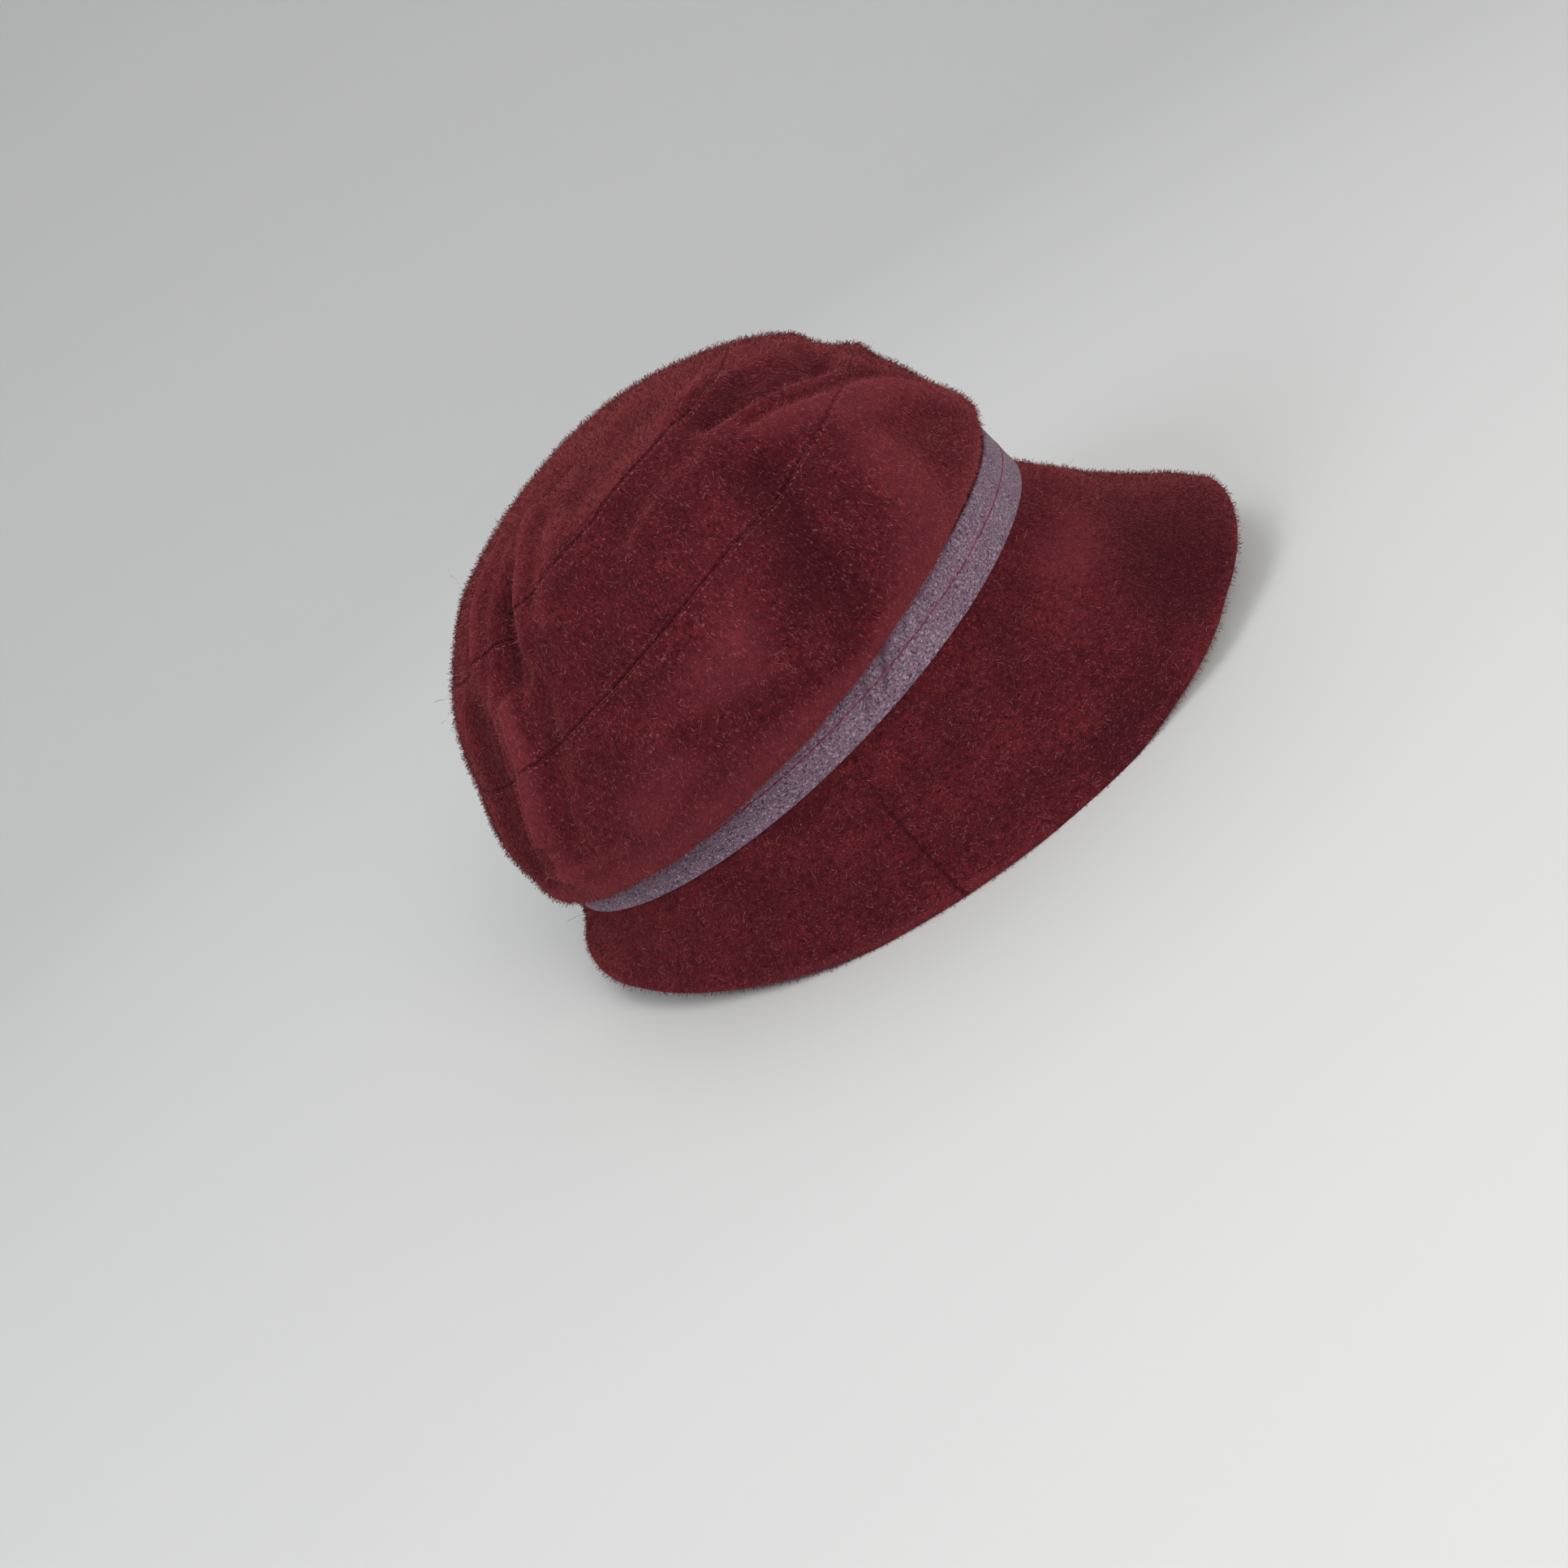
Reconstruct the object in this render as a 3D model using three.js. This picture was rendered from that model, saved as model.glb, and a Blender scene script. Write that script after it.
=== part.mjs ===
// A slouch cloche hat of wool cloth. The crown is pieced from a tip and two rings, and it rolls
// out over a plain band. The brim is wide in front, narrow behind, and seamed at both sides.
// Millimetres, +Z up. The hat faces -Y, the wearer's right side is -X, and it rests on the
// edge of its brim at z = 0, with the middle of that edge's outline at the origin.
import * as THREE from "three";

// Sizes of the head opening, measured inside the foot of the brim
const headLength = 203;
const headWidth = 158;

// Sizes of the crown: its height above the band, and how far it stands out past the band
const crownHeight = 88;
const crownOverhangFront = 1;
const crownOverhangSide = 18;
const crownOverhangBack = 7.5;
const crownDroop = 8.5; // how far it hangs down over the band at the back
const crownWall = 2.2;

// Sizes of the band, and the height of its foot above the floor
const bandWidth = 18;
const bandWall = 1.2;
const bandRiseFront = 64;
const bandRiseSide = 44;
const bandRiseBack = 30.5;

// Sizes of the brim: how far it stands out past the band's foot, and its edge off the floor
const brimReachFront = 52.5;
const brimReachSide = 36;
const brimReachBack = 9;
const brimLiftFront = 15;
const brimLiftBack = 11;
const brimWall = 2.8;
const brimTuck = 3; // how far it runs up behind the band

// Folds and clearances
const foldDepth = 5;
const bandClearance = 0.35; // between the band and the cloth behind it
const seamGap = 0.4; // between two pieces that are sewn together

// Mesh density: columns round the hat, rows of the band, and rows of the brim for each of its
// sections above the inner brim
const columns = 60;
const bandRows = 2;
const brimTopSteps = [1, 1, 2];

const degree = Math.PI / 180;

// Steps to the points close by that a direction is worked out from
const nearAngle = 0.5 * degree;
const nearSection = 0.02;

// A size given at three places round the hat is a list: [front, side, back].
const add = (places, others) => places.map((value, i) => value + others[i]);
const times = (places, shares) => places.map((value, i) => value * shares[i]);
const all = (value) => [value, value, value];

const overhang = [crownOverhangFront, crownOverhangSide, crownOverhangBack];
const brimReach = [brimReachFront, brimReachSide, brimReachBack];
const bandFootRise = [bandRiseFront, bandRiseSide, bandRiseBack];

// The band leans in towards its top, by these shares of its width.
const bandLean = [0.19, 0.08, 0.05];
const bandClimb = bandLean.map((lean) => Math.sqrt(1 - lean * lean));
const headOut = [headLength / 2, headWidth / 2, headLength / 2];
const bandFootOut = add(headOut, all(brimWall + bandClearance + bandWall));
const bandTopOut = add(bandFootOut, times(bandLean, all(-bandWidth)));
const bandTopRise = add(bandFootRise, times(bandClimb, all(bandWidth)));
const bandInset = -(bandWall + bandClearance); // from the band's outer face to the cloth behind it
const crownOut = add(bandTopOut, overhang);

// The brim reaches further in front, so the head's axis lies behind the origin.
const axisY = (brimReachFront - brimReachBack) / 2;

// A table is a list of rows, each read as an object with the named columns.
const table = (names, rows) =>
  rows.map((row) => Object.fromEntries(names.map((name, i) => [name, row[i]])));

// Sections of the crown, from the pole down to its fullest ring. front, side and back are
// shares of the fullest ring, and the rises are shares of the crown's height above the band.
const crownTable = table(
  ["name", "front", "side", "back", "riseFront", "riseSide", "riseBack", "steps"],
  [
    ["pole", -0.19, 0, 0.19, 1, 1, 1, 3],
    ["dome", 0.107, 0.304, 0.538, 0.834, 1.024, 1.064, 3],
    ["tip seam", 0.46, 0.616, 0.809, 0.791, 0.926, 0.793, 2],
    ["slope", 0.655, 0.795, 0.89, 0.685, 0.79, 0.62, 3],
    ["side seam", 0.785, 0.926, 0.945, 0.555, 0.595, 0.43, 3],
    ["shoulder", 0.94, 1, 1.004, 0.21, 0.343, 0.147, 2],
    ["fullest", 0.99, 1, 1, 0.09, 0.12, 0.027, 3],
  ],
);

// Sections of the roll over the band, from the lip to behind the band's top edge. out is a
// share of outUnit past the band's top edge, and up is a share of upUnit above it.
const rollTable = table(
  ["name", "outUnit", "out", "upUnit", "up", "steps"],
  [
    ["lip", overhang, [0.7, 0.64, 0.69], crownDroop, [0.73, -0.14, -0.965], 1],
    ["hem", overhang, [0.4, 0.42, 0.35], crownDroop, [0.61, -0.03, -0.92], 2],
    ["under", overhang, [0.2, 0.22, 0.17], crownDroop, [0.52, 0.14, -0.41], 1],
    ["over", all(bandClearance), [-0.9, 4, 2.7], bandClearance, [8.6, 5.1, 2.3], 1],
    ["turn", all(bandWall), [-0.8, -0.5, -0.5], bandClearance, [4.6, 4.3, 4.3], 1],
    ["stand", all(bandInset), [1, 1, 1], bandClearance, [1, 1, 1], 1],
  ],
);

// Sections of the brim, from behind the band down to the edge. The reaches are shares of the
// brim's reach, and the drops are shares of the height from the band's foot to the edge.
const brimTable = table(
  ["name", "front", "side", "back", "dropFront", "dropSide", "dropBack", "steps"],
  [
    ["inner brim", 0.2, 0.31, 0.18, 0.27, 0.345, 0.36, 2],
    ["outer brim", 0.53, 0.67, 0.5, 0.58, 0.69, 0.7, 2],
    ["edge", 1, 1, 1, 1, 1, 1, 0],
  ],
);

// The edge lies flat on the floor where the hat is widest, and lifts in front and behind.
const flatShare = 0.35;
const liftPower = 1.3;

// Folds follow a line of three points, each a number of degrees round from the front towards
// the wearer's right, and a section number counted down from the pole, or from the band's foot
// on the brim. width is a share of the crown's height and depth a share of foldDepth.
const foldColumns = ["around", "section", "width", "depth"];
const crownFolds = table(foldColumns, [
  [[56, 33, 8], [2.8, 4.1, 5.6], 0.16, 0.4], // roll over the front
  [[50, 24, -14], [2.3, 3.2, 4.1], 0.14, -0.75], // valley behind it
  [[62, 71, 75], [3.7, 4.9, 6.6], 0.17, -0.95], // dent in the right side
  [[48, 50, 58], [4.6, 5.2, 5.9], 0.2, 0.4], // lobe in front of the dent
  [[76, 88, 103], [6.4, 5.8, 5.2], 0.11, -0.45], // dent along the band
  [[88, 100, 118], [4.9, 4.7, 5.4], 0.2, 0.35], // fullness above it
  [[135, 135, 142], [2.9, 4, 5.9], 0.11, 0.55], // ridge at the right back
  [[151, 153, 158], [2.7, 4, 5.6], 0.15, -0.8], // valley behind it
  [[172, 180, 188], [2.9, 4.4, 5.6], 0.13, 0.15], // fullness at the back
  [[121, 123, 126], [1.5, 2.1, 2.8], 0.1, -0.7], // valley up towards the tip
  [[106, 112, 119], [0.9, 1.6, 2.4], 0.09, 0.4], // ridge before it
  [[143, 142, 140], [0.8, 1.4, 2], 0.09, 0.45], // ridge after it
  [[10, 28, 52], [2.1, 1.85, 1.85], 0.1, 0.2], // ridge along the tip seam
  [[40, 62, 84], [1.1, 1.25, 1.3], 0.24, -0.7], // hollow in the tip
  [[-70, -45, -15], [1.4, 1.4, 1.3], 0.28, 0.2], // fullness of the tip beyond it
  [[-66, -72, -76], [3.9, 5, 6.3], 0.18, -0.7], // dent in the left side
  [[-48, -36, -22], [3.2, 3.9, 4.8], 0.15, 0.3], // roll over the left front
  [[-128, -132, -138], [2.8, 4.1, 5.6], 0.15, -0.55], // valley at the left back
  [[-112, -116, -120], [3, 4.4, 5.6], 0.17, 0.35], // ridge before it
  [[-150, -158, -164], [1.6, 2.8, 4.2], 0.16, 0.35], // ridge up the left back
]);
const brimFolds = table(foldColumns, [
  [[6, 20, 36], [0.7, 0.9, 1.1], 0.24, 0.3], // fullness beside the band
  [[16, 28, 42], [1.9, 2, 2.3], 0.26, -0.3], // hollow towards the front edge
  [[8, 18, 28], [2.8, 2.9, 2.9], 0.26, 0.4], // edge bends out at the right front
  [[60, 70, 79], [2.8, 2.9, 3], 0.24, -0.35], // and draws in before the right seam
  [[130, 140, 150], [2.5, 2.5, 2.5], 0.2, -0.25], // hollow in the back brim
  [[-20, -36, -50], [1.7, 1.9, 2.1], 0.28, -0.25], // hollow on the left
  [[-48, -60, -72], [2.8, 2.9, 2.9], 0.26, 0.3], // edge bends out on the left
]);
const crownFoldsEnd = { from: 5.9, to: 6.9 }; // the folds run out before the lip
const brimFoldsStart = { from: 0.15, to: 0.7 }; // and start clear of the band

// The brim's side seams slant back from the band to the edge.
const brimSeamAtBand = 89 * degree;
const brimSeamAtEdge = 97 * degree;

// Blends a size from front through side to back, the same on the left and the right.
function blend([front, side, back], around) {
  const c = Math.cos(around);
  return side + ((front - back) / 2) * c + ((front + back) / 2 - side) * c * c;
}

// A point of a level ring that stands out by these distances from the head's axis.
function ringPoint([front, side, back], height, around) {
  const x = -side * Math.sin(around);
  const y = axisY + (back - front) / 2 - ((front + back) / 2) * Math.cos(around);
  return new THREE.Vector3(x, y, height);
}

// The point of a smooth curve through some points, at a section number. The slope at each
// point follows the distances to its neighbours, so the curve stays tight round the roll.
function curvePoint(points, section) {
  const i = Math.min(Math.max(Math.floor(section), 0), points.length - 2);
  const t = section - i;
  const slope = (k) => {
    const before = k > 0 ? points[k].clone().sub(points[k - 1]) : null;
    const after = k < points.length - 1 ? points[k + 1].clone().sub(points[k]) : null;
    if (!before) return after.normalize();
    if (!after) return before.normalize();
    const [a, b] = [before.length(), after.length()];
    return before.multiplyScalar(b / a).add(after.multiplyScalar(a / b)).divideScalar(a + b);
  };
  const span = points[i].distanceTo(points[i + 1]);
  const point = points[i].clone().multiplyScalar(2 * t ** 3 - 3 * t ** 2 + 1);
  point.addScaledVector(points[i + 1], -2 * t ** 3 + 3 * t ** 2);
  point.addScaledVector(slope(i), span * (t ** 3 - 2 * t ** 2 + t));
  return point.addScaledVector(slope(i + 1), span * (t ** 3 - t ** 2));
}

// The outer face of the cloth behind the band, at a height above the band's foot.
function behindBand(up, around) {
  const out = add(bandFootOut, times(bandLean, all(-up)));
  return ringPoint(add(out, all(bandInset)), blend(bandFootRise, around) + up, around);
}

// The crown's sections down one side, from the pole to its foot behind the band.
function crownSections(around) {
  const rings = crownTable.map((row) => {
    const out = times(crownOut, [row.front, row.side, row.back]);
    const rise = times(all(crownHeight), [row.riseFront, row.riseSide, row.riseBack]);
    if (row.name === "pole") {
      const poleOut = row.back * crownOut[2];
      return ringPoint([-poleOut, 0, poleOut], bandTopRise[1] + rise[1], around);
    }
    return ringPoint(out, blend(add(bandTopRise, rise), around), around);
  });
  const roll = rollTable.map((row) => {
    const out = add(bandTopOut, times(row.outUnit, row.out));
    const rise = add(bandTopRise, times(all(row.upUnit), row.up));
    return ringPoint(out, blend(rise, around), around);
  });
  return [...rings, ...roll, behindBand(brimTuck + seamGap, around)];
}

// The crown's smooth form. Over the pole the curve runs on into the opposite side.
function crownForm(around, section) {
  const opposite = crownSections(around + Math.PI)[1];
  return curvePoint([opposite, ...crownSections(around)], section + 1);
}

function edgeHeight(around) {
  const c = Math.cos(around);
  const rise = Math.max(Math.abs(c) - flatShare, 0) / (1 - flatShare);
  return (c > 0 ? brimLiftFront : brimLiftBack) * rise ** liftPower;
}

// The brim's sections down one side: two behind the band, one at the band's lower edge that
// keeps clear of it, and the table's. Section 0 is the one at the band's lower edge.
const brimSectionsBehind = 2;
function brimSections(around) {
  const foot = blend(bandFootRise, around);
  const drop = foot - edgeHeight(around);
  const clear = ringPoint(bandFootOut, foot - bandWall, around);
  const rings = brimTable.map((row) => {
    const out = add(bandFootOut, times(brimReach, [row.front, row.side, row.back]));
    const down = blend([row.dropFront, row.dropSide, row.dropBack], around);
    return ringPoint(out, foot - drop * down, around);
  });
  return [behindBand(brimTuck, around), behindBand(bandClearance, around), clear, ...rings];
}

function brimForm(around, section) {
  return curvePoint(brimSections(around), section + brimSectionsBehind);
}

// The direction that a form faces at a point, worked out from points close by. At the pole,
// where all sides meet, it is worked out from points on either side of it.
function facing(form, around, section) {
  const along = form(around + nearAngle, section).sub(form(around - nearAngle, section));
  const down = form(around, section + nearSection).sub(form(around, section - nearSection));
  if (along.length() > 0) return along.cross(down).normalize();
  const across = (angle) => form(angle, nearSection).sub(form(angle + Math.PI, nearSection));
  return across(Math.PI / 2).cross(across(0)).normalize();
}

// A form with its folds: each point moves along the direction the form faces.
function folded(form, folds, strength) {
  const lines = folds.map((fold) => ({
    points: fold.around.map((angle, i) => form(angle * degree, fold.section[i])),
    width: fold.width * crownHeight,
    depth: fold.depth * foldDepth,
  }));
  return (around, section) => {
    const point = form(around, section);
    const share = strength(section);
    if (share === 0) return point;
    const depth = lines.reduce((sum, line) => sum + depthAt(line, point), 0);
    return point.addScaledVector(facing(form, around, section), depth * share);
  };
}

// The depth of one fold at a point: full on its line and none at its width from it.
function depthAt({ points: [a, b, c], width, depth }, point) {
  const nearest = new THREE.Vector3();
  const distances = [new THREE.Line3(a, b), new THREE.Line3(b, c)].map((line) =>
    line.closestPointToPoint(point, true, nearest).distanceTo(point),
  );
  const share = Math.min(...distances) / width;
  return share < 1 ? depth * (1 - share * share) ** 2 : 0;
}

const smooth = (value, from, to) => THREE.MathUtils.smoothstep(value, from, to);
const crown = folded(
  crownForm,
  crownFolds,
  (section) => 1 - smooth(section, crownFoldsEnd.from, crownFoldsEnd.to),
);
const brim = folded(brimForm, brimFolds, (section) =>
  smooth(section, brimFoldsStart.from, brimFoldsStart.to),
);

// Section numbers of the mesh rows between two sections of a table with steps.
function rowsBetween(steps, first, last) {
  const rows = [first];
  for (let section = first; section < last; section += 1) {
    for (let k = 1; k <= steps[section]; k += 1) rows.push(section + k / steps[section]);
  }
  return rows;
}

// Outer and inner skins of a ring of cloth. Its ends are cut back by half a seam gap.
function ringSkins(form, rows, thickness, cutStart, cutEnd) {
  const skin = { outer: [], inner: [] };
  rows.forEach((section, r) => {
    const ring = { outer: [], inner: [] };
    for (let c = 0; c < columns; c += 1) {
      const around = (c / columns) * 2 * Math.PI;
      const point = form(around, section);
      const down = form(around, section + nearSection).sub(form(around, section - nearSection));
      if (cutStart && r === 0) point.addScaledVector(down.normalize(), seamGap / 2);
      if (cutEnd && r === rows.length - 1) point.addScaledVector(down.normalize(), -seamGap / 2);
      ring.outer.push(point);
      ring.inner.push(point.clone().addScaledVector(facing(form, around, section), -thickness));
    }
    skin.outer.push(ring.outer);
    skin.inner.push(ring.inner);
  });
  return skin;
}

// A closed wall between two skins, each a list of rows of points. A round wall meets itself,
// a strip has two ends, and a cap's first row is one point.
function wallGeometry({ outer, inner }, { round = true, cap = false } = {}) {
  const rows = outer.length;
  const count = outer[0].length;
  const skins = [outer, inner];
  const positions = skins.flat(2).flatMap((point) => [point.x, point.y, point.z]);
  const id = (skin, row, column) =>
    (skin * rows + row) * count + (cap && row === 0 ? 0 : column % count);
  const triangles = [];
  const face = (a, b, c) => {
    if (a !== b && b !== c && c !== a) triangles.push(a, b, c);
  };
  const quad = (a, b, c, d) => {
    face(a, b, c);
    face(a, c, d);
  };
  const spans = round ? count : count - 1;
  for (let c = 0; c < spans; c += 1) {
    for (let r = 0; r < rows - 1; r += 1) {
      quad(id(0, r, c), id(0, r, c + 1), id(0, r + 1, c + 1), id(0, r + 1, c));
      quad(id(1, r, c), id(1, r + 1, c), id(1, r + 1, c + 1), id(1, r, c + 1));
    }
    if (!cap) quad(id(0, 0, c), id(1, 0, c), id(1, 0, c + 1), id(0, 0, c + 1));
    const last = rows - 1;
    quad(id(0, last, c), id(0, last, c + 1), id(1, last, c + 1), id(1, last, c));
  }
  for (let r = 0; r < rows - 1 && !round; r += 1) {
    const end = count - 1;
    quad(id(0, r, 0), id(0, r + 1, 0), id(1, r + 1, 0), id(1, r, 0));
    quad(id(0, r, end), id(1, r, end), id(1, r + 1, end), id(0, r + 1, end));
  }
  const geometry = new THREE.BufferGeometry();
  geometry.setAttribute("position", new THREE.Float32BufferAttribute(positions, 3));
  geometry.setIndex(triangles);
  geometry.computeVertexNormals();
  return geometry;
}

// Pieces of the crown

const crownSteps = [...crownTable, ...rollTable].map((row) => row.steps);
const tipSeam = crownTable.findIndex((row) => row.name === "tip seam");
const sideSeam = crownTable.findIndex((row) => row.name === "side seam");
const crownFoot = crownSteps.length;

function crownTip() {
  const rows = rowsBetween(crownSteps, 0, tipSeam);
  return wallGeometry(ringSkins(crown, rows, crownWall, false, true), { cap: true });
}

function crownUpper() {
  const rows = rowsBetween(crownSteps, tipSeam, sideSeam);
  return wallGeometry(ringSkins(crown, rows, crownWall, true, true));
}

function crownSide() {
  const rows = rowsBetween(crownSteps, sideSeam, crownFoot);
  return wallGeometry(ringSkins(crown, rows, crownWall, true, false));
}

// The band

function band() {
  const skin = { outer: [], inner: [] };
  for (let r = 0; r <= bandRows; r += 1) {
    const up = bandWidth * (1 - r / bandRows);
    const out = add(bandFootOut, times(bandLean, all(-up)));
    const rise = add(bandFootRise, times(bandClimb, all(up)));
    const ring = (inset) =>
      Array.from({ length: columns }, (_, c) => {
        const around = (c / columns) * 2 * Math.PI;
        return ringPoint(add(out, all(inset)), blend(rise, around), around);
      });
    skin.outer.push(ring(0));
    skin.inner.push(ring(-bandWall));
  }
  return wallGeometry(skin);
}

// Pieces of the brim

const brimSteps = [...brimTopSteps, ...brimTable.map((row) => row.steps)];
const brimEdge = brimTable.length;

function brimSeam(section) {
  const share = Math.min(Math.max(section / brimEdge, 0), 1);
  return brimSeamAtBand + (brimSeamAtEdge - brimSeamAtBand) * share;
}

// A strip of brim between two seams. start and end give the angles of its two ends.
function brimStrip(start, end) {
  const rows = rowsBetween(brimSteps, 0, brimEdge + brimSectionsBehind);
  const turn = end(0) - start(0);
  const spans = Math.round((columns * turn) / (2 * Math.PI));
  const skin = { outer: [], inner: [] };
  rows.forEach((row) => {
    const section = row - brimSectionsBehind;
    const ring = { outer: [], inner: [] };
    for (let c = 0; c <= spans; c += 1) {
      const seam = start(section) + (end(section) - start(section)) * (c / spans);
      const spot = brim(seam, section);
      const cut = seamGap / 2 / spot.clone().setZ(0).length();
      const around = seam + (c === 0 ? cut : 0) - (c === spans ? cut : 0);
      const point = brim(around, section);
      const normal = facing(brim, around, section);
      const inner = point.clone().addScaledVector(normal, -brimWall);
      if (section === brimEdge) {
        // The edge is cut level, so the whole edge lies flat on the floor.
        point.z = edgeHeight(around);
        const inward = normal.clone().setZ(0);
        inner.copy(point).addScaledVector(inward, -brimWall / inward.lengthSq());
      }
      ring.outer.push(point);
      ring.inner.push(inner);
    }
    skin.outer.push(ring.outer);
    skin.inner.push(ring.inner);
  });
  return wallGeometry(skin, { round: false });
}

const brimFront = () =>
  brimStrip(
    (section) => -brimSeam(section),
    (section) => brimSeam(section),
  );
const brimBack = () =>
  brimStrip(
    (section) => brimSeam(section),
    (section) => 2 * Math.PI - brimSeam(section),
  );

// The hat

const wool = { color: 0x5b2429, roughness: 0.95, metalness: 0 };
const bandCloth = { color: 0x6e5764, roughness: 0.95, metalness: 0 };

function piece(name, geometry, finish) {
  const mesh = new THREE.Mesh(geometry, new THREE.MeshStandardMaterial(finish));
  mesh.name = name;
  return mesh;
}

const hat = new THREE.Group();
hat.name = "slouch_cloche_hat";
hat.add(
  piece("crown_tip", crownTip(), wool),
  piece("crown_upper", crownUpper(), wool),
  piece("crown_side", crownSide(), wool),
  piece("band", band(), bandCloth),
  piece("brim_front", brimFront(), wool),
  piece("brim_back", brimBack(), wool),
);

export default hat;
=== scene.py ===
import math

import bpy
import numpy as np
from mathutils import Matrix, Vector, noise


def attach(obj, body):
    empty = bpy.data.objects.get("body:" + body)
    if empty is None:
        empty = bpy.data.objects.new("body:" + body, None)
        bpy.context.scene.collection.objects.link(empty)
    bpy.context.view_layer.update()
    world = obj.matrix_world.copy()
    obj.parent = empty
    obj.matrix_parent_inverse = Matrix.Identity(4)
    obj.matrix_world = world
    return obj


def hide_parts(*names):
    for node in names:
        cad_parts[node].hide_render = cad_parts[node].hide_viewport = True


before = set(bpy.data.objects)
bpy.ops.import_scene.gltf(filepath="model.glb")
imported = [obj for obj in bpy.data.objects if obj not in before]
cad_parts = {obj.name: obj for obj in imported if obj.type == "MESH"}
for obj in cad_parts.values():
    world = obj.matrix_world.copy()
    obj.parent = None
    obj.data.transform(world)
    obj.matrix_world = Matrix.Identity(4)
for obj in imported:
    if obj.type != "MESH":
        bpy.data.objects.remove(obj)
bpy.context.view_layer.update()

MM = 0.001

# Sizes of the cloth form, the same as the solids have
HEAD_LENGTH = 0.203
HEAD_WIDTH = 0.158
CROWN_HEIGHT = 0.088
CROWN_OVERHANG = (0.001, 0.018, 0.0075)
CROWN_DROOP = 0.0085
CROWN_WALL = 0.0022
BAND_WIDTH = 0.018
BAND_WALL = 0.0012
BAND_FOOT_RISE = (0.064, 0.044, 0.0305)
BAND_LEAN = (0.19, 0.08, 0.05)
BRIM_REACH = (0.0525, 0.036, 0.009)
BRIM_LIFT = (0.015, 0.011)  # of the edge in front and behind
BRIM_WALL = 0.0028
BRIM_TUCK = 0.003
FOLD_DEPTH = 0.005
CLEARANCE = 0.00035
SEAM_GAP = 0.0004

# Sizes of what only shows close by
SOFT_WAVES = ((24 * MM, 0.7 * MM), (8 * MM, 0.25 * MM))  # width and height of the cloth's waves
SEAM_SINK = 1.0 * MM  # how far the cloth turns in at a seam
SEAM_HALF = 0.45 * MM  # half the width of the groove that it leaves
SEAM_SHADE_HALF = 1.3 * SEAM_HALF
SEAM_SHADE = 0.9  # the groove is as dark as a fold of this share of FOLD_DEPTH
SEAM_BARE = 0.75  # the share of fibres that are missing there
BRIM_SEAM_SHARE = 0.9  # the brim's side seams are shallower
BRIM_SEAM_WIDER = 1.35  # and wider
PUCKER = 0.35 * MM
PUCKER_SIZE = 5 * MM
PUCKER_REACH = 4 * MM
ROLL_PAINTED_HIGHLIGHT = 0.9  # painted highlight: how pale the wool is painted along the crown's roll, where it catches the light
EDGE_PAINTED_HIGHLIGHT = 0.45  # and the painted highlight along the brim's edge
STITCH_DIMPLE = 0.22 * MM  # how deep a stitch line lies in the cloth
STITCH_DIMPLE_HALF = 0.4 * MM
STITCH_FROM_SEAM = 1.4 * MM
STITCH_PITCH = 2.1 * MM
STITCH_LENGTH = 1.1 * MM
STITCH_THICKNESS = 0.35 * MM
STITCH_SUNK = 0.15  # the share of a stitch's thickness that its middle is above the cloth
BAND_STITCH_UP = 9.5 * MM  # the band's stitch line above its lower edge
BAND_STITCH_PITCH = 2.6 * MM
BAND_STITCH_LENGTH = 2.6 * MM
BAND_STITCH_THICKNESS = 0.6 * MM
EDGE_SPREAD = 1.9 * MM  # the rounded brim edge flattens outwards this much
EDGE_SPREAD_OVER = 12 * MM


def each(function, *places):
    """Applies a function to sizes that are given at the front, side and back."""
    return tuple(function(*values) for values in zip(*places))


STAND_OUT = BRIM_WALL + CLEARANCE + BAND_WALL
HEAD_OUT = (HEAD_LENGTH / 2, HEAD_WIDTH / 2, HEAD_LENGTH / 2)
BAND_FOOT_OUT = each(lambda out: out + STAND_OUT, HEAD_OUT)
BAND_TOP_OUT = each(lambda out, lean: out - lean * BAND_WIDTH, BAND_FOOT_OUT, BAND_LEAN)
BAND_CLIMB = each(lambda lean: math.sqrt(1 - lean * lean), BAND_LEAN)
BAND_TOP_RISE = each(lambda rise, climb: rise + climb * BAND_WIDTH, BAND_FOOT_RISE, BAND_CLIMB)
BAND_INSET = BAND_WALL + CLEARANCE
CROWN_OUT = each(lambda out, over: out + over, BAND_TOP_OUT, CROWN_OVERHANG)
AXIS_Y = (BRIM_REACH[0] - BRIM_REACH[2]) / 2


def table(columns, rows):
    """A list of rows, each a dictionary with the named columns."""
    return [dict(zip(columns.split(), row)) for row in rows]


# The crown from the pole to its fullest ring: shares of that ring, and of the crown's height
CROWN_TABLE = table(
    "name front side back rise_front rise_side rise_back",
    [
        ("pole", -0.19, 0, 0.19, 1, 1, 1),
        ("dome", 0.107, 0.304, 0.538, 0.834, 1.024, 1.064),
        ("tip seam", 0.46, 0.616, 0.809, 0.791, 0.926, 0.793),
        ("slope", 0.655, 0.795, 0.89, 0.685, 0.79, 0.62),
        ("side seam", 0.785, 0.926, 0.945, 0.555, 0.595, 0.43),
        ("shoulder", 0.94, 1, 1.004, 0.21, 0.343, 0.147),
        ("fullest", 0.99, 1, 1, 0.09, 0.12, 0.027),
    ],
)

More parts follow.
